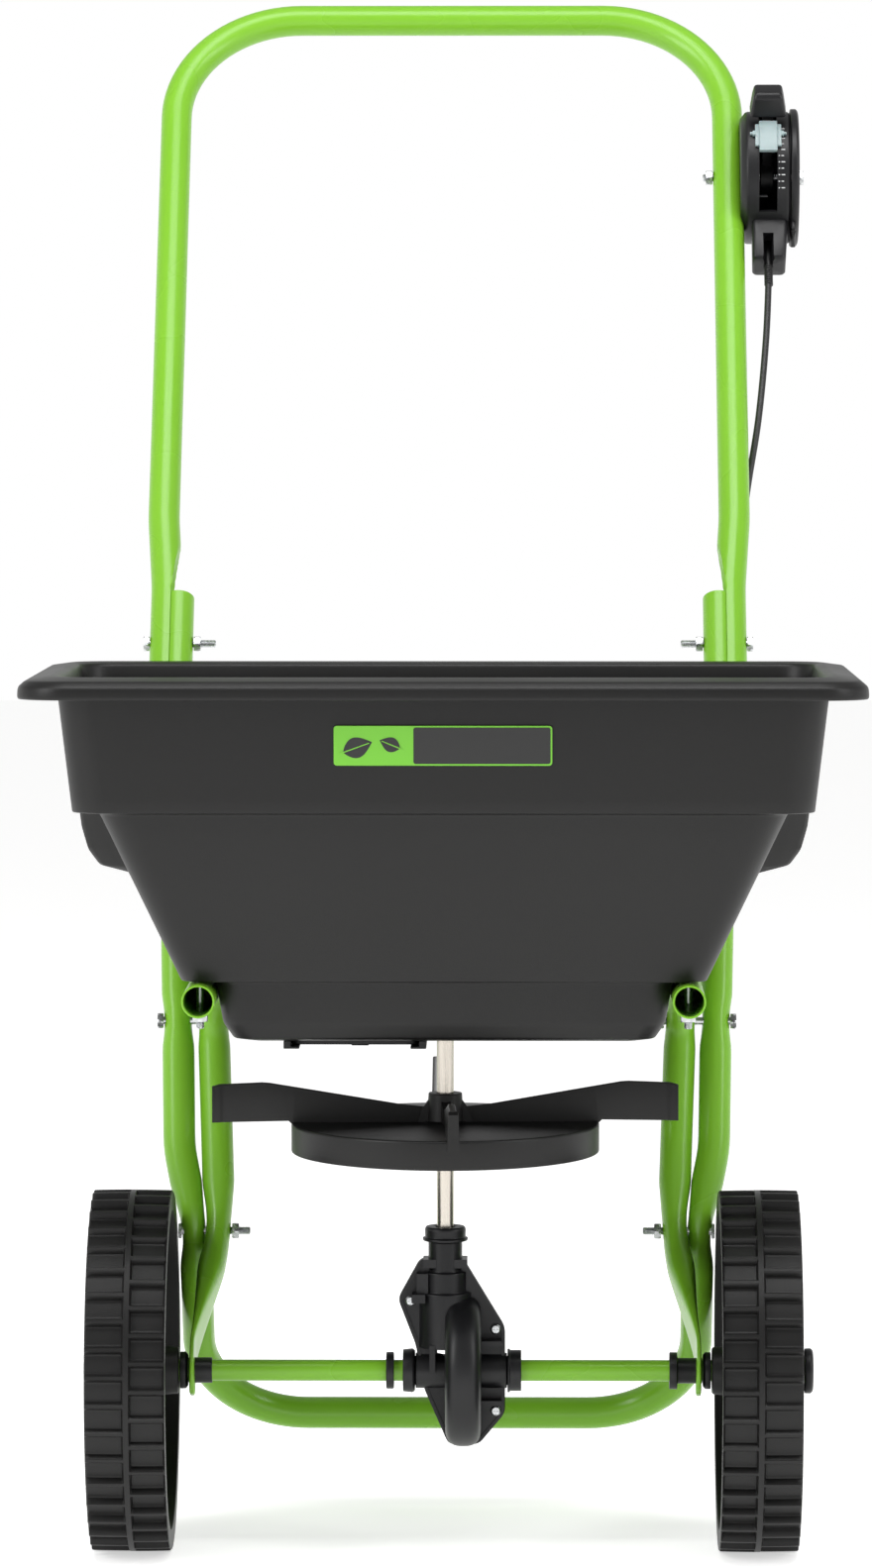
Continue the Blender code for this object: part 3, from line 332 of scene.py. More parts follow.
handle.data.vertices.foreach_set("co", points.ravel())
fit(handle, powder_coat, "frame", "green_powder_coat", "handle")


# ---- Nuts and bolts ----
# Hexagon bolts of 6 mm steel, cold headed and rolled, bright zinc plated, each with its nut.

# Zinc plating: a bright, slightly cloudy metal skin.
zinc, tree, shader = new_material("zinc_plate", {"Base Color": srgb("#C6C8CA"), "Metallic": 1.0,
                                                 "Roughness": 0.28})
place_in_object = add(tree, "ShaderNodeTexCoord", {}).outputs["Object"]
cloud = add(tree, "ShaderNodeTexNoise", {"Scale": 260.0, "Detail": 4.0}, {"Vector": place_in_object})
gloss = add(tree, "ShaderNodeMapRange", {"To Min": 0.18, "To Max": 0.42}, {"Value": cloud.outputs["Fac"]})
shades = add(tree, "ShaderNodeMix", {"data_type": "RGBA", 6: srgb("#A9ABAD"), 7: srgb("#DADCDD")},
             {0: cloud.outputs["Fac"]})
tree.links.new(gloss.outputs["Result"], shader.inputs["Roughness"])
tree.links.new(shades.outputs[2], shader.inputs["Base Color"])


def turned(name, profile, place, steps=56, closed=False):
    """A profile of (radius, height) turned about its own Z, then put in place; an open one is capped."""
    profile = np.asarray(profile, float)
    turns = np.linspace(0, math.tau, steps, endpoint=False)
    grid = np.stack([np.outer(profile[:, 0], np.cos(turns)), np.outer(profile[:, 0], np.sin(turns)),
                     np.repeat(profile[:, 1:], steps, 1)], -1)
    turn, move = np.array(place.to_3x3()), np.array(place.translation)
    return surface(name, grid @ turn.T + move, along=closed)


def softened(points, reach, count=3, closed=False):
    """A polyline, of any number of columns, with each corner rounded by a short curve."""
    points = [np.asarray(point, float) for point in points]
    made = [] if closed else [points[0]]
    for i in range(0 if closed else 1, len(points) if closed else len(points) - 1):
        before, here, after = points[i - 1], points[i], points[(i + 1) % len(points)]
        a, b = before - here, after - here
        a *= min(1, 0.45 * np.linalg.norm(a) / reach) * reach / max(np.linalg.norm(a), 1e-9)
        b *= min(1, 0.45 * np.linalg.norm(b) / reach) * reach / max(np.linalg.norm(b), 1e-9)
        for t in np.linspace(0, 1, count + 1):
            made.append(here + a * (1 - t) ** 2 + b * t ** 2)
    return np.array(made if closed else made + [points[-1]])


def along_x(x, y, z, side=1):
    """A place whose own Z points outwards along X."""
    return standing(x, y, z) @ Matrix.Rotation(side * math.pi / 2, 4, "Y")


def hexagon(name, across, height, bore, place):
    """A hexagon with its corners turned off at both faces, bored through; radius is that of a hexagon at
    each angle, cut by a cone near the faces."""
    turns = np.linspace(0, math.tau, 72, endpoint=False)
    flat = across / 2 / np.cos((turns + math.pi / 6) % (math.pi / 3) - math.pi / 6)
    rows = []
    for radius, z in ((bore, 0.04), (across * 0.44, 0), (across * 0.51, 0.02), (across * 0.60, 0.20),
                      (across * 0.60, 0.80), (across * 0.51, 0.98), (across * 0.44, 1), (bore, 0.96)):
        size = np.minimum(flat, radius)
        rows.append(np.stack([size * np.cos(turns), size * np.sin(turns), np.full(72, z * height)], 1))
    turn, move = np.array(place.to_3x3()), np.array(place.translation)
    return surface(name, np.array(rows) @ turn.T + move, along=bore > 0, ends=bore == 0)


THREAD_PITCH, THREAD_DEPTH, SHANK = 0.0010, 0.0004, 0.0029


def bolt(name, place, across, head, length, thread):
    """A hexagon head, and a shank whose last stretch carries thread ridges."""
    top = hexagon(name, across, head, 0.0, place)
    turns = int(thread / THREAD_PITCH)
    ridges = [(SHANK - THREAD_DEPTH * (i % 2),
               -(length - thread) - i * THREAD_PITCH / 2) for i in range(2 * turns)]
    profile = [(SHANK, 0.0004), (SHANK, -(length - thread))] + ridges + [(SHANK - 2 * THREAD_DEPTH, -length)]
    screw = turned(f"{name}_shank", profile, place, 24)
    return joined([top, screw])


def joined(things):
    """Several meshes made one piece, under the first one's name."""
    points, faces, start = [], [], 0
    for thing in things:
        points += [tuple(vertex.co) for vertex in thing.data.vertices]
        faces += [[start + i for i in face.vertices] for face in thing.data.polygons]
        start = len(points)
    name = things[0].name
    for thing in things:
        bpy.data.objects.remove(thing, do_unlink=True)
    data = bpy.data.meshes.new(name)
    data.from_pydata(points, [], faces)
    piece = bpy.data.objects.new(name, data)
    scene.collection.objects.link(piece)
    return piece


ACROSS, NUT_HIGH = 0.0104, 0.0050
for spot, (y, z, seat, head, nut, tip) in {
        "handle": (*JOINT[1:], 0.2173, 0.0042, 0.1850, 0.1690),
        "upper_frame": (*UPPER_BOLT, 0.2030, 0.0042, 0.1555, 0.1440),
        "lower_frame": (*LOWER_BOLT, 0.1890, 0.0022, 0.1530, 0.1400)}.items():
    for side, word in ((-1, "left"), (1, "right")):
        piece = bolt(f"{spot}_bolt_{word}_hex", along_x(side * seat, y, z, side), ACROSS, head, seat - tip,
                     0.024)
        fit(piece, zinc, "frame", "zinc_plated_steel", f"{spot}_bolt_{word}")
        piece = hexagon(f"{spot}_nut_{word}_hex", ACROSS, -NUT_HIGH, 0.0030, along_x(side * nut, y, z, side))
        fit(piece, zinc, "frame", "zinc_plated_steel", f"{spot}_nut_{word}")
for side, word in ((-1, "left"), (1, "right")):
    top = standing(side * RAIL, -0.090, 0.4126)
    piece = bolt(f"hopper_bolt_{word}_hex", top, ACROSS, 0.0040, 0.0370, 0.018)
    fit(piece, zinc, "frame", "zinc_plated_steel", f"hopper_bolt_{word}")
    under = standing(side * RAIL, -0.090, rail_z - TUBE - 0.0003)
    fit(hexagon(f"hopper_nut_{word}_hex", ACROSS, -NUT_HIGH, 0.0030, under), zinc, "frame",
        "zinc_plated_steel",
        f"hopper_nut_{word}")


# ---- Hopper ----
# One injection moulding in black polypropylene, 3 mm thick: a rolled lip, a straight upper wall, a step
# with a bulge on each side, a funnel, a shoulder that sits on the rails, and a tub with the outlets.
RIM_HALF, RIM_TOP, FLOOR_Z, WALL = 0.289, 0.622, 0.366, 0.003

# Moulded polypropylene: satin, with a fine spark grain, faint flow clouds and a few rub marks.
polypropylene, tree, shader = new_material("moulded_polypropylene", {
    "Base Color": srgb("#0F0E0E"), "Roughness": 0.44, "Specular IOR Level": 0.34})
place_in_object = add(tree, "ShaderNodeTexCoord", {}).outputs["Object"]
grain = add(tree, "ShaderNodeTexNoise", {"Scale": 900.0, "Detail": 3.0, "Roughness": 0.6},
            {"Vector": place_in_object})
bump = add(tree, "ShaderNodeBump", {"Strength": 0.18, "Distance": 0.0004}, {"Height": grain.outputs["Fac"]})
cloud = add(tree, "ShaderNodeTexNoise", {"Scale": 7.0, "Detail": 5.0}, {"Vector": place_in_object})
gloss = add(tree, "ShaderNodeMapRange", {"To Min": 0.34, "To Max": 0.52}, {"Value": cloud.outputs["Fac"]})
shades = add(tree, "ShaderNodeMix", {"data_type": "RGBA", 6: srgb("#0D0D0C"), 7: srgb("#121111")},
             {0: cloud.outputs["Fac"]})
tree.links.new(shades.outputs[2], shader.inputs["Base Color"])
tree.links.new(gloss.outputs["Result"], shader.inputs["Roughness"])
tree.links.new(bump.outputs["Normal"], shader.inputs["Normal"])

# half width, front, rear, height, corner radius, half width of the side bulge
HOPPER_ROWS = [
    (RIM_HALF, -0.2100, 0.1600, 0.6070, 0.034, 0), (RIM_HALF - 0.0004, -0.2096, 0.1596, 0.6150, 0.034, 0),
    (0.2835, -0.2045, 0.1545, 0.6195, 0.030, 0), (0.2680, -0.1860, 0.1360, RIM_TOP, 0.026, 0),
    (0.2625, -0.1745, 0.1245, 0.6205, 0.024, 0), (0.2605, -0.1725, 0.1225, 0.6130, 0.023, 0),
    (0.2510, -0.1630, 0.1130, 0.5310, 0.022, 0.251), (0.2340, -0.1470, 0.0970, 0.5300, 0.020, 0.2495),
    (0.2275, -0.1434, 0.0944, 0.5160, 0.020, 0.2480), (0.2200, -0.1392, 0.0915, 0.5000, 0.019, 0.2435),
    (0.2149, -0.1363, 0.0895, 0.4890, 0.019, 0.2355), (0.2120, -0.1347, 0.0884, 0.4830, 0.019, 0.2120),
    (0.1790, -0.1140, 0.0840, 0.4125, 0.016, 0), (0.1555, -0.0980, 0.0780, 0.4120, 0.014, 0),
    (0.1500, -0.0920, 0.0720, 0.3800, 0.014, 0), (0.1440, -0.0860, 0.0660, 0.3708, 0.013, 0),
    (0.1340, -0.0760, 0.0560, FLOOR_Z + WALL, 0.010, 0)]
CORNER_POINTS, SIDE_POINTS, FRONT_POINTS = 9, 56, 24


def beyond(rows, wall):
    """The rows moved by a wall's thickness to the left of their run: the side profile is offset with
    mitred corners, and the front, the rear, the corners and the bulge go out by as much as the side."""
    side = rows[:, (0, 3)]
    run = np.diff(side, axis=0)
    run /= np.linalg.norm(run, axis=1)[:, None]
    left = np.stack([-run[:, 1], run[:, 0]], 1)
    left = np.vstack([left[:1], left, left[-1:]])
    middle = left[:-1] + left[1:]
    move = middle * (2 * wall / np.maximum((middle ** 2).sum(1), 0.8))[:, None]
    out = rows.copy()
    out[:, 0] += move[:, 0]
    out[:, 1] -= move[:, 0]
    out[:, 2] += move[:, 0]
    out[:, 3] += move[:, 1]
    out[:, 4] = np.maximum(out[:, 4] + move[:, 0], 0.004)
    out[:, 5] = np.where(rows[:, 5] > 0, rows[:, 5] + wall, 0)
    return out


def filled(rows, step):
    """Rows with more of them between, so that none are further apart in height than a step."""
    more = [a + (b - a) * np.linspace(0, 1, max(1, int(abs(a[3] - b[3]) / step)), endpoint=False)[:, None]
            for a, b in zip(rows, rows[1:])]
    return np.vstack(more + [rows[-1:]])


skin = np.array(HOPPER_ROWS)
back = beyond(skin, WALL)
rows = filled(softened(np.vstack([skin[::-1], back]), 0.0030, 4), 0.008)


def hopper_row(half, front, rear, height, radius, bulge):
    """A rounded rectangle: four arcs joined by straight sides, whose two short sides swell out by a
    smooth window of their length where the bulge is wider than the wall."""
    arc = np.radians(np.linspace(0, 90, CORNER_POINTS))
    quarter = np.stack([np.cos(arc), np.sin(arc)], 1) * radius
    x, top, low = half - radius, rear - radius, front + radius
    turn = np.array(((0, -1), (1, 0)))
    pieces = []
    for k, (cx, cy) in enumerate(((x, top), (-x, top), (-x, low), (x, low))):
        pieces.append(quarter @ np.linalg.matrix_power(turn, k).T + (cx, cy))
        if k % 2 == 0:
            run = np.linspace(x, -x, FRONT_POINTS + 2)[1:-1] * (1 if k == 0 else -1)
            pieces.append(np.stack([run, np.full(FRONT_POINTS, rear if k == 0 else front)], 1))
        else:
            run = np.linspace(top, low, SIDE_POINTS + 2)[1:-1]
            run = run if k == 1 else run[::-1]
            share = (run - low) / (top - low)
            window = np.clip((0.5 - np.abs(share - 0.5) - 0.19) / 0.05, 0, 1)
            window = window ** 2 * (3 - 2 * window)
            out = half + (max(half, bulge) - half) * window
            pieces.append(np.stack([out * (-1 if k == 1 else 1), run], 1))
    outline = np.vstack(pieces)
    return np.column_stack([outline[:, 0], outline[:, 1] + AXLE_Y, np.full(len(outline), height)])


def cutter_boxes(name, boxes):
    """Closed boxes, each given by its low and high corner, in one mesh."""
    unit = np.array([(x, y, z) for x in (0, 1) for y in (0, 1) for z in (0, 1)], float)
    sides = np.array([(0, 1, 3, 2), (4, 6, 7, 5), (0, 4, 5, 1), (2, 3, 7, 6), (0, 2, 6, 4), (1, 5, 7, 3)])
    points = np.vstack([np.array(low) + unit * (np.array(high) - np.array(low)) for low, high in boxes])
    faces = np.vstack([sides + 8 * i for i in range(len(boxes))])
    data = bpy.data.meshes.new(name)
    data.from_pydata(points.tolist(), [], faces.tolist())
    made = bpy.data.objects.new(name, data)
    scene.collection.objects.link(made)
    return made


def moved(piece, place):
    """Carries a mesh to a place."""
    for vertex in piece.data.vertices:
        vertex.co = place @ vertex.co
    return piece


def carved(piece, others, operation="DIFFERENCE", solver="EXACT"):
    """Cuts other meshes out of a piece, or joins them to it, and keeps the result as its mesh."""
    for other in others:
        step = piece.modifiers.new(operation, "BOOLEAN")
        step.operation, step.object, step.solver = operation, other, solver
    bpy.context.view_layer.update()
    graph = bpy.context.evaluated_depsgraph_get()
    data = bpy.data.meshes.new_from_object(piece.evaluated_get(graph))
    piece.modifiers.clear()
    piece.data = data
    for other in others:
        bpy.data.objects.remove(other, do_unlink=True)
    return piece


hopper = surface("hopper_shell", [hopper_row(*row) for row in rows])
OUTLET_X, OUTLET_Y, OUTLET_HALF = (-0.088, -0.063, -0.038), -0.010, (0.008, 0.013)
shaft_y = -math.sin(math.radians(2)) * (FLOOR_Z - AXLE_Z)
outlets = cutter_boxes("outlets", [(at(x - OUTLET_HALF[0], OUTLET_Y - OUTLET_HALF[1], FLOOR_Z - 0.01),
                                    at(x + OUTLET_HALF[0], OUTLET_Y + OUTLET_HALF[1], FLOOR_Z + 0.01))
                                   for x in OUTLET_X])
shaft_hole = turned("shaft_hole", [(0.0112, -0.02), (0.0112, 0.02)],
                    standing(0, shaft_y, FLOOR_Z), 40)
carved(hopper, [outlets, shaft_hole])
fit(hopper, polypropylene, "frame", "black_polypropylene", "hopper", sharp=40)

# ---- Label ----
# A printed vinyl plate on the hopper's front: green with a plain leaf on one end and a black panel.
label_low, label_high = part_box("hopper_label")
label_lean = math.atan2(0.0095, 0.081)
label_place = (Matrix.Translation((label_low + label_high) / 2) @ Matrix.Rotation(label_lean, 4, "X")
               @ TIPPED)
LABEL_HALF = (0.0742, 0.0137)


def carried(points, place):
    """Points turned and moved by a place."""
    return np.array(points) @ np.array(place.to_3x3()).T + np.array(place.translation)


def spun(turn):
    """The matrix that turns rows of x and y by an angle."""
    return np.array(((math.cos(turn), math.sin(turn)), (-math.sin(turn), math.cos(turn))))


def plate(name, outline, low, high, place, edge=0.0003):
    """A flat outline thickened between two heights, with a small chamfer at both faces."""
    outline = np.asarray(outline, float)
    ahead = np.roll(outline, -1, 0) - np.roll(outline, 1, 0)
    ahead /= np.linalg.norm(ahead, axis=1)[:, None] + 1e-12
    area = np.sum(outline[:, 0] * np.roll(outline[:, 1], -1) - np.roll(outline[:, 0], -1) * outline[:, 1])
    inward = np.stack([-ahead[:, 1], ahead[:, 0]], 1) * math.copysign(1, area)
    rows = [np.column_stack([outline + inward * inset, np.full(len(outline), z)])
            for inset, z in ((edge, low), (0, low + edge), (0, high - edge), (edge, high))]
    grid = carried(rows, place)
    piece = surface(name, grid, ends=False)
    faces = [list(face.vertices) for face in piece.data.polygons]
    count = len(outline)
    faces += [list(range(count))[::-1], list(range(3 * count, 4 * count))]
    data = bpy.data.meshes.new(name)
    data.from_pydata(grid.reshape(-1, 3).tolist(), [], faces)
    piece.data = data
    return outward(piece)


def outward(piece):
    """Turns a closed mesh the right way out, by the sign of the volume that its faces enclose."""
    points = np.array([vertex.co for vertex in piece.data.vertices])
    piece.data.calc_loop_triangles()
    corners = np.array([triangle.vertices for triangle in piece.data.loop_triangles])
    a, b, c = (points[corners[:, i]] for i in range(3))
    faces = [list(face.vertices) for face in piece.data.polygons]
    middle = points.mean(0)
    if np.einsum("ij,ij->i", a - middle, np.cross(b - middle, c - middle)).sum() < 0:
        faces = [face[::-1] for face in faces]
        data = bpy.data.meshes.new(piece.name)
        data.from_pydata(points.tolist(), [], faces)
        piece.data = data
    return piece


def rounded_box(half_x, half_y, radius, count=6, centre=(0, 0)):
    """The outline of a rectangle with round corners."""
    arc = np.radians(np.linspace(0, 90, count))
    quarter = np.stack([np.cos(arc), np.sin(arc)], 1) * radius
    turn = np.array(((0, -1), (1, 0)))
    spots = ((1, 1), (-1, 1), (-1, -1), (1, -1))
    corner = np.array((half_x - radius, half_y - radius))
    return np.vstack([quarter @ np.linalg.matrix_power(turn, k).T + corner * spot
                      for k, spot in enumerate(spots)]) + centre


def vinyl(name, colour):
    """Printed vinyl: an even, glossy film with a faint ripple."""
    made, tree, shader = new_material(name, {"Base Color": srgb(colour), "Roughness": 0.30})
    place_in_object = add(tree, "ShaderNodeTexCoord", {}).outputs["Object"]
    ripple = add(tree, "ShaderNodeTexNoise", {"Scale": 60.0, "Detail": 2.0}, {"Vector": place_in_object})
    bump = add(tree, "ShaderNodeBump", {"Strength": 0.05, "Distance": 0.0004},
               {"Height": ripple.outputs["Fac"]})
    tree.links.new(bump.outputs["Normal"], shader.inputs["Normal"])
    return made


vinyl_green, vinyl_black = vinyl("vinyl_green", "#6FBE2C"), vinyl("vinyl_black", "#141414")
piece = plate("label_plate", rounded_box(*LABEL_HALF, 0.0022), -0.0005, 0.0004, label_place, 0.0001)
fit(piece, vinyl_green, "frame", "green_label", "hopper_label")
PANEL_FROM, LEAF_EDGE = -0.020, 0.00005
panel_half = (LABEL_HALF[0] - 0.0012 - PANEL_FROM) / 2
piece = plate("label_panel", rounded_box(panel_half, LABEL_HALF[1] - 0.0012, 0.0015,
                                         centre=(PANEL_FROM + panel_half, 0)), 0.0004, 0.0007, label_place,
              0.0001)
fit(piece, vinyl_black, "frame", "green_label")
t = np.linspace(0, 1, 14)
for index, (x, y, turn, long) in enumerate(((-0.058, -0.001, 0.35, 0.021), (-0.036, 0.001, 2.75, 0.015))):
    side = np.stack([long * (t - 0.5), long * 0.34 * np.sin(math.pi * t ** 0.85)], 1)
    leaf = np.vstack([side, side[-2:0:-1] * (1, -1)])
    piece = plate(f"label_leaf_{index + 1}", leaf @ spun(turn) + (x, y), 0.0004, 0.0007, label_place,
                  LEAF_EDGE)
    fit(piece, vinyl_black, "frame", "green_label")
    rib = [(-long * 0.62, -0.0004), (long * 0.40, -0.0003), (long * 0.40, 0.0003), (-long * 0.62, 0.0004)]
    rib = np.array(rib) @ spun(turn) + (x, y)
    piece = plate(f"label_leaf_rib_{index + 1}", rib, 0.0007, 0.0009, label_place, LEAF_EDGE)
    fit(piece, vinyl_green, "frame", "green_label")


# ---- Shutter ----
# A nylon plate slides under the outlets in two bolted-on guides, pulled by a steel wire that comes out
# of the cable's end tube behind it.
SHUTTER_TOP, SHUTTER_THICK, WIRE_X, WIRE_Z = FLOOR_Z - 0.0006, 0.0032, -0.060, 0.3585
SHUTTER_X, SHUTTER_Y, SHUTTER_TRAVEL = (-0.106, -0.018), (-0.062, 0.012), 0.030

# Moulded nylon: close to black, satin, with a fine grain and slightly glossier rubbed places.
nylon, tree, shader = new_material("moulded_nylon", {"Base Color": srgb("#121214"), "Roughness": 0.36,
                                                         "Specular IOR Level": 0.36})
place_in_object = add(tree, "ShaderNodeTexCoord", {}).outputs["Object"]
grain = add(tree, "ShaderNodeTexNoise", {"Scale": 1400.0, "Detail": 3.0}, {"Vector": place_in_object})
bump = add(tree, "ShaderNodeBump", {"Strength": 0.14, "Distance": 0.0003}, {"Height": grain.outputs["Fac"]})
cloud = add(tree, "ShaderNodeTexNoise", {"Scale": 22.0, "Detail": 4.0}, {"Vector": place_in_object})
gloss = add(tree, "ShaderNodeMapRange", {"To Min": 0.30, "To Max": 0.50}, {"Value": cloud.outputs["Fac"]})
tree.links.new(gloss.outputs["Result"], shader.inputs["Roughness"])
tree.links.new(bump.outputs["Normal"], shader.inputs["Normal"])

middle = standing(sum(SHUTTER_X) / 2, sum(SHUTTER_Y) / 2, SHUTTER_TOP)
half_x, half_y = (SHUTTER_X[1] - SHUTTER_X[0]) / 2, (SHUTTER_Y[1] - SHUTTER_Y[0]) / 2
shutter = plate("shutter_plate", rounded_box(half_x, half_y, 0.004), -SHUTTER_THICK, 0.0, middle, 0.0004)
tab = cutter_boxes("shutter_tab_block", [(at(WIRE_X - 0.006, 0.004, 0.3560),
                                          at(WIRE_X + 0.006, 0.010, SHUTTER_TOP - 0.001))])
carved(shutter, [tab], "UNION")
front, rear = (OUTLET_Y + way * OUTLET_HALF[1] - SHUTTER_TRAVEL for way in (-1, 1))
windows = cutter_boxes("windows", [(at(x - OUTLET_HALF[0], front, FLOOR_Z - 0.02),
                                    at(x + OUTLET_HALF[0], rear, FLOOR_Z + 0.01)) for x in OUTLET_X])
carved(shutter, [windows])
fit(shutter, nylon, "shutter", "black_nylon", "shutter")
path = np.array([at(WIRE_X, y, WIRE_Z) for y in np.linspace(0.001, 0.070, 6)])
wire = round_tube("shutter_pull_wire", path, (1, 0, 0), 0.0010, 0.0010, columns=14)
fit(wire, zinc, "shutter", "zinc_plated_steel", "shutter_wire")
GUIDE_HALF, GUIDE_MIDDLE = 0.058, -0.016
for word, outer, inner in (("left", -0.1115, -0.1005), ("right", -0.0125, -0.0235)):
    web = outer + math.copysign(0.0050, inner - outer)
    under = SHUTTER_TOP - SHUTTER_THICK
    low, lip, top = under - 0.0020, under - 0.0003, FLOOR_Z - 0.0003
    outline = [(outer, low), (inner, low), (inner, lip), (web, lip), (web, top), (outer, top)]
    turned_up = standing(0, GUIDE_MIDDLE, 0) @ TIPPED
    piece = plate(f"shutter_rail_{word}", softened(outline, 0.0006, 2, closed=True), -GUIDE_HALF, GUIDE_HALF,
                  turned_up, 0.0004)
    fit(piece, nylon, "frame", "black_nylon", f"shutter_guide_{word}")
BRACKET_Y = 0.050
upright = standing(WIRE_X, BRACKET_Y, 0.3598) @ TIPPED
bracket = plate("cable_bracket_plate", rounded_box(0.011, 0.0058, 0.002), -0.0015, 0.0015, upright, 0.0003)
hole = turned("bracket_hole", [(0.0042, -0.01), (0.0042, 0.01)],
              standing(WIRE_X, BRACKET_Y, WIRE_Z) @ TIPPED, 24)
fit(carved(bracket, [hole]), zinc, "frame", "zinc_plated_steel", "cable_bracket")
end_tube = turned("cable_end_ferrule", softened([(0.0039, 0.0), (0.0039, 0.060), (0.0016, 0.060),
                                                 (0.0016, 0.0)],
                                                0.0005, 2, closed=True),
                  standing(WIRE_X, 0.0440, WIRE_Z) @ Matrix.Rotation(-math.pi / 2, 4, "X"),
                  28, closed=True)
fit(end_tube, zinc, "frame", "zinc_plated_steel", "cable_end_tube")


# ---- Impeller ----
# A skirted disc with four upright blades, thicker and lipped at their ends, on a bright drawn shaft that
# leans a little forward; a two-armed agitator turns with it inside the hopper.
SHAFT_LEAN, SHAFT_RADIUS, SHAFT_SPAN = math.radians(2), 0.006, (0.031, 0.296)
DISC_RADIUS, DISC_LOW, DISC_TOP, HUB_TOP, BLADE_END = 0.108, 0.156, 0.1765, 0.197, 0.164

# Drawn steel bar: bright, faintly warm, drawn along its length.
drawn_steel, tree, shader = new_material("drawn_steel", {
    "Base Color": srgb("#C9C2B8"), "Metallic": 1.0, "Roughness": 0.24})
place_in_object = add(tree, "ShaderNodeTexCoord", {}).outputs["Object"]
stretch = add(tree, "ShaderNodeMapping", {"Scale": (900.0, 900.0, 12.0)}, {"Vector": place_in_object})
lines = add(tree, "ShaderNodeTexNoise", {"Scale": 1.0, "Detail": 3.0}, {"Vector": stretch.outputs["Vector"]})
gloss = add(tree, "ShaderNodeMapRange", {"To Min": 0.16, "To Max": 0.36}, {"Value": lines.outputs["Fac"]})
bump = add(tree, "ShaderNodeBump", {"Strength": 0.06, "Distance": 0.0002}, {"Height": lines.outputs["Fac"]})
tree.links.new(gloss.outputs["Result"], shader.inputs["Roughness"])
tree.links.new(bump.outputs["Normal"], shader.inputs["Normal"])


def on_shaft(x=0.0, y=0.0, z=0.0):
    """A place measured from the axle, in the frame that leans with the impeller's shaft."""
    return (standing(0, 0, AXLE_Z) @ Matrix.Rotation(SHAFT_LEAN, 4, "X")
            @ Matrix.Translation((x, y, z)))


low, high = SHAFT_SPAN
shaft = turned("shaft_bar", [(SHAFT_RADIUS - 0.0008, low), (SHAFT_RADIUS, low + 0.0008),
                             (SHAFT_RADIUS, high - 0.0008),
                             (SHAFT_RADIUS - 0.0008, high)], on_shaft(), 48)
fit(shaft, drawn_steel, "impeller_drive", "bright_steel", "impeller_shaft")

BORE, SKIN, ARM_RADIUS = SHAFT_RADIUS + 0.0003, 0.0028, 0.0034
section = [(BORE, HUB_TOP), (0.0118, HUB_TOP), (0.0128, DISC_TOP + 0.001), (0.0150, DISC_TOP),
           (DISC_RADIUS - 0.0010, DISC_TOP), (DISC_RADIUS, DISC_TOP - 0.0012), (DISC_RADIUS, DISC_LOW),
           (DISC_RADIUS - SKIN, DISC_LOW), (DISC_RADIUS - SKIN, DISC_TOP - SKIN), (0.0125, DISC_TOP - SKIN),
           (0.0125, DISC_LOW + 0.002), (BORE, DISC_LOW + 0.002)]
impeller = turned("impeller_disc", softened(section, 0.0008, 3, closed=True), on_shaft(), 128, closed=True)


def blade_wall(radius):
    """Foot, top and half thickness of a blade at a radius: the top climbs to a knee at 126 mm and dips a
    little to the end, the foot leaves the disc at its edge, and the last 8 mm swell to a lip."""
    foot = np.interp(radius, (0.010, 0.1075, 0.110, BLADE_END), (0.1752, 0.1752, 0.1776, 0.1768))
    top = np.interp(radius, (0.010, 0.030, 0.126, 0.158, BLADE_END), (0.1870, 0.1888, 0.2048, 0.2035, 0.2018))
    swell = np.clip((radius - (BLADE_END - 0.009)) / 0.003, 0, 1)
    return foot, top, 0.0017 + 0.0010 * np.clip((radius - 0.03) / 0.1, 0, 1) + 0.0014 * swell ** 2


def stood_across(outline, radius, turn):
    """An outline of sideways and upward points, stood across a radius at an angle round the shaft."""
    return [(radius * math.cos(turn) - s * math.sin(turn), radius * math.sin(turn) + s * math.cos(turn), z)
            for s, z in outline]


BLADES, BLADE_TURN = 4, 2.5
blades = []
for index in range(BLADES):
    turn = math.radians(360 / BLADES * index + BLADE_TURN)
    rows = []
    for radius in [*np.linspace(0.009, 0.105, 18), 0.1075, 0.110, *np.linspace(0.113, BLADE_END - 0.010, 9),
                   *np.linspace(BLADE_END - 0.009, BLADE_END - 0.0004, 8)]:
        foot, top, half = blade_wall(radius)
        outline = softened([(-half, foot), (half, foot), (half * 0.86, top), (-half * 0.86, top)], 0.0007,
                           3, closed=True)
        rows.append(stood_across(outline, radius, turn))
    blades.append(surface(f"blade_{index}", carried(rows, on_shaft())))
    wedge = np.array([(0.009, -0.0040, 0.176), (0.009, 0.0040, 0.176), (0.019, 0.0022, 0.176),
                      (0.019, -0.0022, 0.176),
                      (0.009, -0.0040, 0.1955), (0.009, 0.0040, 0.1955), (0.0165, 0.0022, 0.1860),
                      (0.0165, -0.0022, 0.1860)])
    wedge[:, :2] = wedge[:, :2] @ spun(turn)
    wedge = carried(wedge, on_shaft())
    data = bpy.data.meshes.new(f"gusset_{index}")
    data.from_pydata(wedge.tolist(), [], [(3, 2, 1, 0), (4, 5, 6, 7), (0, 1, 5, 4), (1, 2, 6, 5),
                                          (2, 3, 7, 6),
                                          (3, 0, 4, 7)])
    gusset = bpy.data.objects.new(f"gusset_{index}", data)
    scene.collection.objects.link(gusset)
    blades.append(outward(gusset))
fit(carved(impeller, blades, "UNION"), polypropylene, "impeller_drive", "black_polypropylene", "impeller")

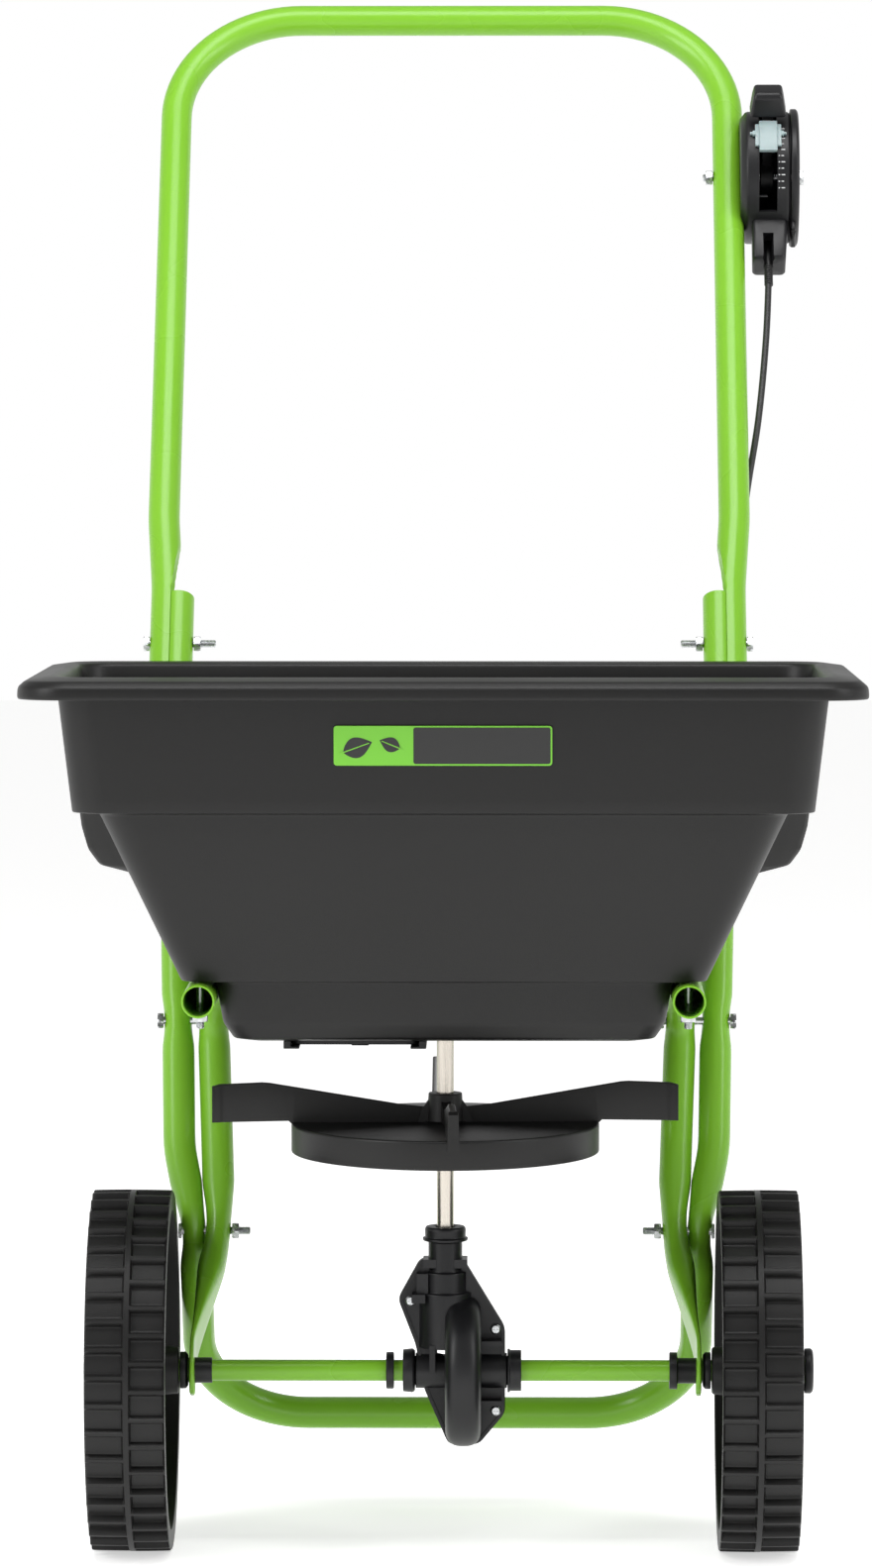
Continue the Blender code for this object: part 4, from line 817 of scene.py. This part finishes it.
ring_section = softened([(0.0110, 0.262), (0.0110, 0.282), (BORE, 0.282), (BORE, 0.262)], 0.0010, 3,
                        closed=True)
agitator = turned("agitator_ring", ring_section, on_shaft(), 40, closed=True)
arms = []
for side in (-1, 1):
    local = bent([(side * 0.0085, 0, 0.272), (side * 0.045, 0, 0.268), (side * 0.0615, 0, 0.2585)],
                 (0.020,), run=0.002)
    arms.append(round_tube(f"agitator_arm_{side}", carried(local, on_shaft()), (0, 1, 0), ARM_RADIUS,
                           ARM_RADIUS,
                           columns=20))
fit(carved(agitator, arms, "UNION"), nylon, "impeller_drive", "black_nylon", "agitator")
section = [(0.0150, 0.2434), (0.0150, 0.2470), (BORE + 0.0001, 0.2470), (BORE + 0.0001, 0.2372),
           (0.0098, 0.2372),
           (0.0098, 0.2434)]
bush = turned("shaft_bush_ring", softened(section, 0.0005, 2, closed=True), on_shaft(), 48, closed=True)
fit(bush, nylon, "frame", "black_nylon", "shaft_bush")
for node in ("pinion", "ring_gear"):
    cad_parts[node].material_slots[0].material = nylon


# ---- Gearbox ----
# Two nylon mouldings meet at a ribbed diamond flange; a round bulge covers the ring gear, a stepped
# barrel holds the pinion's bearing under a ring cap, and bushes with flanges close both sides.
FLANGE = [(-0.0175, 0.080), (-0.0333, 0.0514), (-0.0208, 0.0188), (-0.0153, -0.0117), (0.0021, -0.052),
          (0.0236, -0.052), (0.042, -0.0298), (0.042, 0.0313), (0.0125, 0.080)]
SCREWS = [(-0.0245, 0.0500), (0.0355, 0.0300), (0.0355, -0.0280)]
PARTING = 0.00015
upright = on_shaft() @ TIPPED
sideways = on_shaft() @ Matrix.Rotation(math.pi / 2, 4, "Y")
outline = softened(FLANGE, 0.0045, 5, closed=True)


def inset(points, amount):
    """An outline moved inwards along its normals."""
    points = np.asarray(points, float)
    ahead = np.roll(points, -1, 0) - np.roll(points, 1, 0)
    ahead /= np.linalg.norm(ahead, axis=1)[:, None]
    area = np.sum(points[:, 0] * np.roll(points[:, 1], -1) - np.roll(points[:, 0], -1) * points[:, 1])
    return points + np.stack([-ahead[:, 1], ahead[:, 0]], 1) * math.copysign(amount, area)


def half_solid(name, low, high):
    """One gearbox half: its share of the flange, the rib round it, the bulge, barrel and bosses, cut by
    the other half's side and bored for the gears, the shaft and the axle."""
    body = plate(name, outline, low, high, upright, 0.0006)
    front = high > abs(low)
    far = high if front else low
    way = math.copysign(1, far)
    rib = plate("rib", inset(outline, 0.0002), *sorted((far - 0.0010 * way, far + 0.0016 * way)), upright,
                0.0003)
    dish = plate("dish", inset(outline, 0.0024), *sorted((far + 0.02 * way, 0.0)), upright, 0.0001)
    carved(rib, [dish], solver="MANIFOLD")
    bulge = turned("bulge", softened([(0.0001, 0.0), (0.0533, 0.0), (0.0533, 0.0252), (0.0001, 0.0252)],
                                     0.0122, 12), sideways, 96)
    barrel = turned("barrel", softened([(0.0001, 0.0170), (0.0185, 0.0170), (0.0185, 0.0560),
                                        (0.0150, 0.0562),
                                        (0.0150, 0.0705), (0.0119, 0.0708), (0.0119, 0.0920),
                                        (0.0001, 0.0920)],
                                       0.0008, 3), on_shaft(), 56)
    boss = turned("boss", softened([(0.0001, -0.0209), (0.0125, -0.0209), (0.0125, 0.0434), (0.0001, 0.0434)],
                                   0.0008, 3), sideways, 48)
    blocks = [((-0.0235, -0.0165, 0.0500), (-0.0140, 0.0165, 0.0560)),
              ((-0.0200, -0.0110, 0.0560), (-0.0120, 0.0110, 0.0700)),
              ((-0.0155, -0.0100, 0.0740), (0.0155, 0.0100, 0.0800)),
              ((0.0230, -0.0145, -0.0230), (0.0395, 0.0145, -0.0195)),
              ((0.0230, -0.0160, 0.0195), (0.0395, 0.0160, 0.0230)),
              ((-0.0110, -0.0175, 0.0000), (-0.0070, 0.0175, 0.0200))]
    ribs = [moved(cutter_boxes("rib_block", [block]), on_shaft()) for block in blocks]
    for solid in (rib, bulge, barrel, boss, *ribs):
        carved(body, [solid], "UNION", "MANIFOLD")
    near, away = (-PARTING, 0.09) if front else (-0.09, PARTING)
    other = moved(cutter_boxes("other_half", [((-0.09, near, -0.09), (0.09, away, 0.12))]), on_shaft())
    hollows = [turned("gear_room", [(0.0492, 0.0027), (0.0492, 0.0226)], sideways, 64),
               turned("pinion_room", [(0.0138, 0.0220), (0.0138, 0.0580)], on_shaft(), 40),
               turned("shaft_bore", [(0.0067, 0.010), (0.0067, 0.100)], on_shaft(), 32),
               turned("axle_bore", [(0.0105, -0.040), (0.0105, 0.060)], sideways, 32), other]
    hollows += [turned("screw_hole", [(0.0021, -0.010), (0.0021, 0.010)],
                       on_shaft(x, 0, z) @ TIPPED, 16) for x, z in SCREWS]
    return carved(body, hollows, solver="MANIFOLD")


fit(half_solid("gearbox_front_half", -0.0030, 0.0035), nylon, "frame", "black_nylon", "gearbox_front")
fit(half_solid("gearbox_rear_half", -0.0035, 0.0030), nylon, "frame", "black_nylon", "gearbox_rear")
for index, (x, z) in enumerate(SCREWS, 1):
    place = on_shaft(x, -0.0038, z) @ TIPPED
    head = [(0.0017, 0.0), (0.0036, 0.0), (0.0037, 0.0012), (0.0026, 0.0024), (0.0001, 0.0026)]
    piece = turned(f"gearbox_screw_{index}_pan", [(0.0001, -0.0068), (0.0016, -0.0064)] + head, place, 32)
    slots = [moved(cutter_boxes("slot", [((-x, -y, 0.0014), (x, y, 0.0040))]), place)
             for x, y in ((0.0024, 0.0004), (0.0004, 0.0024))]
    fit(carved(piece, slots, solver="MANIFOLD"), zinc, "frame", "zinc_plated_steel", f"gearbox_screw_{index}")
section = [(0.0068, 0.0925), (0.0157, 0.0925), (0.0160, 0.0945), (0.0142, 0.0948), (0.0144, 0.1005),
           (0.0136, 0.1024),
           (0.0090, 0.1025), (0.0068, 0.1018)]
cap = turned("gearbox_ring_cap", softened(section, 0.0007, 3, closed=True), on_shaft(), 64, closed=True)
fit(cap, nylon, "frame", "black_nylon", "gearbox_cap")


# ---- Axle ----
# A plain 15 mm bar, painted with the frame, in nylon bushes pressed through the flattened tube ends;
# its right end drives a wheel and carries a cap, its left end a spring cap that holds the free wheel.
AXLE_RADIUS, AXLE_SPAN = 0.0075, (-0.2505, 0.2520)
axle = turned("axle_bar", [(AXLE_RADIUS - 0.0008, AXLE_SPAN[0]), (AXLE_RADIUS, AXLE_SPAN[0] + 0.0008),
                           (AXLE_RADIUS, AXLE_SPAN[1] - 0.0008), (AXLE_RADIUS - 0.0008, AXLE_SPAN[1])],
              along_x(0, 0, AXLE_Z), 48)
fit(axle, powder_coat, "drive_axle", "green_powder_coat", "axle")
LOOSE = AXLE_RADIUS + 0.0004


def bushing(name, section, side, body, *nodes):
    """A bored nylon ring on the axle, given by its section away from the middle on one side."""
    piece = turned(name, softened(section, 0.0006, 3, closed=True), along_x(0, 0, AXLE_Z, side), 56,
                   closed=True)
    return fit(piece, nylon, body, "black_nylon", *nodes)


bushing("bush_flanged_left", [(LOOSE, 0.0110), (0.0101, 0.0110), (0.0101, 0.0213), (0.0142, 0.0213),
                              (0.0155, 0.0230),
                              (0.0148, 0.0298), (LOOSE, 0.0298)], -1, "frame", "gearbox_bush_left")
bushing("bush_flanged_right", [(LOOSE, 0.0340), (0.0101, 0.0340), (0.0101, 0.0437), (0.0154, 0.0437),
                               (0.0154, 0.0452),
                               (0.0145, 0.0454), (0.0145, 0.0534), (LOOSE, 0.0534)], 1, "frame",
        "gearbox_bush_right")
bushing("clip_ring", [(LOOSE, 0.0361), (0.0126, 0.0361), (0.0130, 0.0368), (0.0130, 0.0410), (0.0126, 0.0416),
                      (LOOSE, 0.0416)], -1, "drive_axle", "axle_collar")
bushing("end_bush_left", [(LOOSE, 0.1640), (0.0090, 0.1640), (0.0090, 0.1806), (LOOSE, 0.1806)], -1, "frame",
        "axle_bush_left")
bushing("end_bush_right", [(LOOSE, 0.1575), (0.0130, 0.1575), (0.0130, 0.1630), (0.0090, 0.1632),
                           (0.0090, 0.1806),
                           (LOOSE, 0.1806)], 1, "frame", "axle_bush_right")
for side, word in ((-1, "left"), (1, "right")):
    bushing(f"spacer_ring_{word}", [(LOOSE, 0.1810), (0.0110, 0.1810), (0.0130, 0.1826), (0.0130, 0.1866),
                                    (LOOSE, 0.1866)], side, "drive_axle", f"wheel_spacer_{word}")
cap = turned("axle_end_cap", softened([(0.0001, 0.2525), (0.0158, 0.2525), (0.0160, 0.2570), (0.0140, 0.2586),
                                       (0.0001, 0.2586)], 0.0010, 4), along_x(0, 0, AXLE_Z, 1), 56)
fit(cap, nylon, "drive_axle", "black_nylon", "hub_cap_right")
clip = turned("axle_end_clip", softened([(0.0001, 0.2510), (0.0100, 0.2510), (0.0098, 0.2536),
                                         (0.0070, 0.2546),
                                         (0.0001, 0.2546)], 0.0008, 4), along_x(0, 0, AXLE_Z, -1), 40)
fit(clip, zinc, "drive_axle", "zinc_plated_steel", "axle_clip_left")


# ---- Wheels ----
# One moulding each: a rim with two rows of cross lugs, staggered by half a pitch either side of a centre
# rib, a thin disc stiffened by spokes, and a hub.
WHEEL_INNER, WHEEL_OUTER, WHEEL_R = 0.1920, 0.2480, 0.1270
LUGS, LUG_SHARE, LUG_DEPTH = 40, 0.24, 0.0050
RIB_AT, RIB_HALF, RIM_IN = 0.0270, 0.0026, 0.1125


def tread_depth(turn, height):
    """How deep the tread is recessed: none on a lug, on the centre rib or at the rim's edges, and lugs
    of the second row sit half a pitch on from the first's."""
    second = height > RIB_AT
    phase = (turn * LUGS / math.tau + 0.5 * second) % 1.0
    near = np.abs(phase - 0.5)
    lug = np.clip((near - (0.5 - LUG_SHARE / 2) + 0.035) / 0.07, 0, 1)
    rib = np.clip((RIB_HALF + 0.0007 - np.abs(height - RIB_AT)) / 0.0012, 0, 1)
    edge = np.clip((0.0012 - np.where(second, 1.0, height)) / 0.0010 + 0.5, 0, 1)
    return LUG_DEPTH * (1 - np.maximum(np.maximum(lug, rib), edge))


def wheel_tread(side):
    """The rim as one closed turned surface, finely divided round the tread so that the lugs show."""
    width = WHEEL_OUTER - WHEEL_INNER
    steps = LUGS * 20
    turns = np.linspace(0, math.tau, steps, endpoint=False)
    heights = np.concatenate([[0.0006, 0.0011, 0.0018, 0.0024], np.linspace(0.004, RIB_AT - 0.006, 6),
                              RIB_AT + np.array([-0.0040, -0.0033, -0.0028, -0.0024, -0.0019, 0.0, 0.0019,
                                                 0.0024,
                                                 0.0028, 0.0033, 0.0040]),
                              np.linspace(RIB_AT + 0.006, width - 0.004, 6),
                              [width - 0.0012, width - 0.0004]])
    inner = [(RIM_IN, width - 0.0002), (RIM_IN - 0.0005, width - 0.0007), (RIM_IN - 0.0015, 0.0320),
             (RIM_IN - 0.0035, 0.0302),
             (0.0215, 0.0302), (0.0190, 0.0315), (0.0165, width + 0.0010), (0.0155, width + 0.0018),
             (0.0081, width + 0.0018), (0.0081, -0.0046), (0.0155, -0.0046), (0.0165, -0.0038),
             (0.0190, 0.0240),
             (0.0215, 0.0254), (RIM_IN - 0.0035, 0.0254), (RIM_IN - 0.0015, 0.0235),
             (RIM_IN - 0.0005, 0.0007),
             (RIM_IN, 0.0002)]
    rows = []
    for height in heights:
        crown = 0.0004 * ((height / width - 0.5) * 2) ** 2
        depth = tread_depth(turns, height)
        radius = WHEEL_R - crown - depth - (0.0006 if height < 0.0008 or height > width - 0.0006 else 0)
        rows.append(np.stack([radius * np.cos(turns), radius * np.sin(turns), np.full(steps, height)], 1))
    rows += [np.stack([r * np.cos(turns), r * np.sin(turns), np.full(steps, z)], 1)
             for r, z in [(WHEEL_R - LUG_DEPTH - 0.001,
                           width - 0.0001)] + inner + [(WHEEL_R - 0.0014, 0.0001)]]
    return carried(rows, along_x(side * WHEEL_INNER, 0, AXLE_Z, side))


SPOKES = 8
for side, word, body in ((-1, "left", "free_wheel"), (1, "right", "drive_axle")):
    wheel = surface(f"wheel_rim_{word}", wheel_tread(side), along=True)
    place = along_x(side * WHEEL_INNER, 0, AXLE_Z, side)
    blocks = []
    for index in range(SPOKES):
        turn = math.tau * index / SPOKES
        rows = []
        for radius in np.linspace(0.0130, RIM_IN + 0.0008, 16):
            half = 0.0022 + 0.0016 * abs(radius - 0.065) / 0.05
            reach = 0.0105 + 0.0070 * ((radius - 0.065) / 0.05) ** 2
            outline = softened([(-half, 0.0278 - reach), (half, 0.0278 - reach), (half, 0.0278 + reach),
                                (-half, 0.0278 + reach)], 0.0006, 2, closed=True)
            rows.append(stood_across(outline, radius, turn))
        blocks.append(surface(f"spoke_{index}", carried(rows, place)))
    fit(carved(wheel, blocks, "UNION"), polypropylene, body, "black_polypropylene", f"wheel_{word}")


# ---- Rate control ----
# A nylon drum bolted to the right handle tube: the drum sits on the tube in a saddle, a plate closes its
# other side, and a lever with a knob swings in a slot beside a printed scale, with a pale pointer on it.
CONTROL_X, CONTROL_Z, CONTROL_RADIUS = 0.2385, 0.977, 0.050
SHELL_LEFT, SHELL_SPLIT, SHELL_RIGHT = 0.2180, 0.2557, 0.2620
SLOT_HALF, SLOT_FROM, SLOT_TO = 0.0068, -32, 72
pivot = at(0, JOINT[1] + (CONTROL_Z - JOINT[2]) * math.tan(HANDLE_LEAN), CONTROL_Z)
across_pivot = Matrix.Translation(Vector(pivot)) @ Matrix.Rotation(math.pi / 2, 4, "Y")
facing = Matrix(((0, 0, -1, 0), (-1, 0, 0, 0), (0, 1, 0, 0), (0, 0, 0, 1)))

# Acetal for the pointer: pale grey-blue, slightly waxy.
acetal, tree, shader = new_material("grey_acetal_resin", {
    "Base Color": srgb("#8E9FA0"), "Roughness": 0.38, "Subsurface Weight": 0.08, "Subsurface Scale": 0.002})
place_in_object = add(tree, "ShaderNodeTexCoord", {}).outputs["Object"]
cloud = add(tree, "ShaderNodeTexNoise", {"Scale": 160.0, "Detail": 2.0}, {"Vector": place_in_object})
shades = add(tree, "ShaderNodeMix", {"data_type": "RGBA", 6: srgb("#899A9B"), 7: srgb("#97A7A8")},
             {0: cloud.outputs["Fac"]})
tree.links.new(shades.outputs[2], shader.inputs["Base Color"])
# Scale printing: flat white ink.
ink, tree, shader = new_material("white_ink", {"Base Color": srgb("#D9DADB"), "Roughness": 0.6})
place_in_object = add(tree, "ShaderNodeTexCoord", {}).outputs["Object"]
wear = add(tree, "ShaderNodeTexNoise", {"Scale": 700.0, "Detail": 3.0}, {"Vector": place_in_object})
shades = add(tree, "ShaderNodeMix", {"data_type": "RGBA", 6: srgb("#A9AAAB"), 7: srgb("#E6E7E8")},
             {0: wear.outputs["Fac"]})
tree.links.new(shades.outputs[2], shader.inputs["Base Color"])


def beside(x):
    """A place at the control's pivot whose own X points forward, Y up and Z to the left."""
    return Matrix.Translation(Vector(pivot + (x, 0, 0))) @ facing


def fan(inner, outer, low, high, count=24):
    """A sector between two radii and two angles, in degrees up from forward."""
    turns = np.radians(np.linspace(low, high, count + 1))
    out = np.stack([np.cos(turns), np.sin(turns)], 1)
    return np.vstack([out * outer, out[::-1] * inner])


def lying_block(name, low, high, from_t, to_t, thick, taper=0.0, radius=0.003):
    """A block along the handle tube, between two X values, with rounded edges; its far end is narrower
    by the taper."""
    middle, half = (low + high) / 2, (high - low) / 2
    rows = []
    for t, shrink in ((from_t, 0.002), (from_t + 0.0007, 0.0007), (from_t + 0.002, 0.0), (to_t, 0.0)):
        near = (t - from_t) / (to_t - from_t)
        outline = rounded_box(half - taper * (1 - near) / 2 - shrink, thick - shrink, radius, 5)
        rows.append([pivot + lean_line * t + (middle - taper * (1 - near) / 2 + u, 0, 0)
                     + v * np.array((0, math.cos(HANDLE_LEAN), -math.sin(HANDLE_LEAN))) for u, v in outline])
    return surface(name, rows)


slot_cut = plate("slot_cut", fan(0.030, 0.060, SLOT_FROM, SLOT_TO), -SLOT_HALF, SLOT_HALF,
                 beside(CONTROL_X), 0.0001)
bolt_cut = turned("bolt_cut", [(0.0036, 0.18), (0.0036, 0.28)], across_pivot, 24)
axis = Matrix(np.vstack([np.column_stack([(1, 0, 0), np.cross(lean_line, (1, 0, 0)), lean_line, pivot]),
                         (0, 0, 0, 1)]).tolist())
saddle = turned("saddle", [(TUBE + 0.0003, -0.075), (TUBE + 0.0003, 0.075)],
                Matrix.Translation((HANDLE_HALF, 0, 0)) @ axis, 64)
socket = turned("socket", [(0.0036, -0.095), (0.0036, -0.040)],
                Matrix.Translation((CONTROL_X, 0, 0)) @ axis, 32)
rim, low, high = CONTROL_RADIUS, SHELL_LEFT, SHELL_SPLIT - 0.00015
drum = turned("control_drum", softened([(0.0001, low), (rim * 0.88, low), (rim, low + 0.0045),
                                        (rim, high - 0.0015),
                                        (rim - 0.0010, high - 0.0008), (rim - 0.0010, high), (0.0001, high)],
                                       0.0020, 5), across_pivot, 128)
arm = lying_block("control_arm", 0.2266, 0.2543, -0.084, -0.038, 0.0120, 0.0030)
room = turned("control_room", [(rim - 0.0028, low + 0.0048), (rim - 0.0028, high + 0.001)], across_pivot, 96)
step = lying_block("arm_step", 0.2262, 0.2547, -0.0485, -0.0470, 0.0124)
carved(drum, [arm, step], "UNION")
carved(drum, [room, slot_cut, socket, saddle, bolt_cut])
bar = plate("slot_bar", fan(0.0465, 0.0488, -18.6, -17.4, 2), -0.2380, -0.2300, beside(0), 0.0002)
groove = turned("cable_groove", [(0.0036, -0.095), (0.0036, -0.0620)],
                Matrix.Translation((CONTROL_X, 0, 0)) @ axis @ Matrix.Translation((0, -0.0050, 0)), 24)
groove_wide = turned("cable_groove", [(0.0044, -0.095), (0.0044, -0.0610)],
                     Matrix.Translation((CONTROL_X, 0, 0)) @ axis @ Matrix.Translation((0, -0.0100, 0)), 24)
carved(drum, [bar], "UNION")
carved(drum, [groove, groove_wide])
fit(drum, nylon, "frame", "black_nylon", "control_shell_left")

low, high, rim = SHELL_SPLIT + 0.00015, SHELL_RIGHT, CONTROL_RADIUS + 0.002
lid = turned("control_lid", softened([(0.0001, low), (rim, low), (rim, high - 0.0015), (rim - 0.0025, high),
                                      (0.0001, high)], 0.0012, 4), across_pivot, 128)
tail = lying_block("lid_tail", low, 0.2595, -0.058, -0.038, 0.0120, 0.0, 0.0015)
room = turned("lid_room", [(CONTROL_RADIUS - 0.0028, low - 0.001), (CONTROL_RADIUS - 0.0028, high - 0.0028)],
              across_pivot, 96)
bolt_cut = turned("bolt_cut", [(0.0036, 0.18), (0.0036, 0.28)], across_pivot, 24)
carved(lid, [tail], "UNION")
fit(carved(lid, [room, bolt_cut]), nylon, "frame", "black_nylon", "control_shell_right")

LEVER_ANGLE = math.radians(60)
swing = beside(CONTROL_X) @ Matrix.Rotation(LEVER_ANGLE, 4, "Z")
turns = np.linspace(0, math.tau, 48, endpoint=False)
lever = plate("lever_hub", 0.0140 * np.stack([np.cos(turns), np.sin(turns)], 1), -0.0050, 0.0050,
              beside(CONTROL_X), 0.0006)
arm = plate("lever_arm", rounded_box(0.0275, 0.0045, 0.0015, centre=(0.0345, 0)), -0.0040, 0.0040, swing,
            0.0006)
KNOB = [(0.0555, -0.0085), (0.0720, -0.0100), (0.0760, -0.0070), (0.0760, 0.0080), (0.0700, 0.0100),
        (0.0555, 0.0070)]
rows = []
for width, amount in ((-0.0135, 0.0022), (-0.0132, 0.0012), (-0.0122, 0.0003), (-0.0105, 0.0), (0.0105, 0.0),
                      (0.0122, 0.0003), (0.0132, 0.0012), (0.0135, 0.0022)):
    outline = inset(softened(KNOB, 0.0022, 4, closed=True), amount)
    narrow = 1 - 0.24 * np.clip((outline[:, 0] - 0.0600) / 0.016, 0, 1)
    rows.append(np.column_stack([outline, width * narrow]))
knob = surface("lever_knob", carried(rows, swing))
bore = turned("lever_bore", [(0.0036, 0.22), (0.0036, 0.26)], across_pivot, 24)
carved(lever, [arm, knob], "UNION")
fit(carved(lever, [bore]), nylon, "rate_lever", "black_nylon", "rate_lever")

pointer = plate("pointer_block", fan(0.0503, 0.0548, 21, 50), -0.0068, 0.0068, beside(CONTROL_X), 0.0006)
tips = [plate("wings", fan(0.0504, 0.0530, 26, 48, 12), -0.0098, 0.0098, beside(CONTROL_X), 0.0004)]
for start, end, half, top in ((36.5, 40.5, 0.0118, 0.0530), (37.8, 39.4, 0.0137, 0.0525)):
    tips.append(plate("tips", fan(0.0506, top, start, end, 4), -half, half, beside(CONTROL_X), 0.0003))
carved(pointer, tips, "UNION")
fit(pointer, acetal, "rate_lever", "grey_acetal", "rate_pointer")

place = beside(0)
marks = []
for index in range(11):
    angle = 46 - 5.6 * index
    wide = 0.0019 if index % 2 else 0.0028
    marks.append((angle, 0.2482 + wide / 2, wide, 0.8))
    if index > 4:
        marks.append((angle, 0.2466, 0.0010, 0.8))
for index, (angle, x, wide, tall) in enumerate(marks):
    half = math.degrees(0.00045 * tall / CONTROL_RADIUS)
    outline = fan(CONTROL_RADIUS - 0.0003, CONTROL_RADIUS + 0.00012, angle - half, angle + half, 2)
    marks[index] = plate(f"scale_mark_{index + 1}", outline, -x - wide / 2, -x + wide / 2, place, 0.00002)
fit(joined(marks), ink, "frame", "black_nylon")

piece = bolt("control_bolt_hex", along_x(SHELL_RIGHT + 0.0003, 0, 0, 1), ACROSS, 0.0042, 0.0720, 0.016)
to_pivot = Matrix.Translation(Vector(pivot - at(0, 0, 0)))
fit(moved(piece, to_pivot), zinc, "frame", "zinc_plated_steel", "control_bolt")
piece = hexagon("control_nut_hex", ACROSS, -NUT_HIGH, 0.0030, along_x(HANDLE_HALF - TUBE - 0.0004, 0, 0, 1))
fit(moved(piece, to_pivot), zinc, "frame", "zinc_plated_steel", "control_nut")


# ---- Cable ----
# A black plastic sleeve, ribbed where it leaves the control, that runs down behind the hopper and round
# to the shutter's end tube.
CABLE_RADIUS = 0.0025

# Extruded sleeve: soft black plastic, slightly glossy.
sleeve, tree, shader = new_material("black_sleeve", {"Base Color": srgb("#1C1C1C"), "Roughness": 0.45})
place_in_object = add(tree, "ShaderNodeTexCoord", {}).outputs["Object"]
scuffs = add(tree, "ShaderNodeTexNoise", {"Scale": 300.0, "Detail": 3.0}, {"Vector": place_in_object})
gloss = add(tree, "ShaderNodeMapRange", {"To Min": 0.36, "To Max": 0.58}, {"Value": scuffs.outputs["Fac"]})
tree.links.new(gloss.outputs["Result"], shader.inputs["Roughness"])
line = pivot + (CONTROL_X, 0, 0)
ROUTE = [line - lean_line * 0.0800, line - lean_line * 0.0950, at(0.2355, 0.366, 0.853),
         at(0.2290, 0.331, 0.795),
         at(0.2190, 0.306, 0.735), at(0.2090, 0.262, 0.655), at(0.1850, 0.220, 0.570),
         at(0.1300, 0.178, 0.480),
         at(0.0400, 0.160, 0.395), at(-0.0350, 0.152, 0.3605), at(WIRE_X, 0.128, WIRE_Z),
         at(WIRE_X, 0.1046, WIRE_Z)]


def smooth_route(points, step):
    """Points on the Catmull-Rom curve through the route, about a step apart."""
    padded = [2 * points[0] - points[1], *points, 2 * points[-1] - points[-2]]
    made = []
    for a, b, c, d in zip(padded, padded[1:], padded[2:], padded[3:]):
        for t in np.arange(0, 1, step / np.linalg.norm(c - b)):
            made.append(0.5 * ((2 * b) + (c - a) * t + (2 * a - 5 * b + 4 * c - d) * t * t
                               + (3 * b - a - 3 * c + d) * t ** 3))
    return np.array(made + [points[-1]])


path = smooth_route(ROUTE, 0.004)
cable = round_tube("cable_sleeve", path, (1, 0, 0), CABLE_RADIUS, CABLE_RADIUS, columns=20)
fit(cable, sleeve, "frame", "cable_sleeve", "cable")
ridges = []
for t in np.arange(0.0845, 0.1010, 0.0020):
    ridges.append(turned("ridge", softened([(0.0026, -0.0006), (0.0033, -0.0006), (0.0033, 0.0006),
                                            (0.0026, 0.0006)],
                                           0.0003, 2, closed=True),
                         Matrix.Translation((CONTROL_X, 0, 0)) @ axis @ Matrix.Translation((0, 0, -t)), 24,
                         closed=True))
fit(joined(ridges), sleeve, "frame", "cable_sleeve")
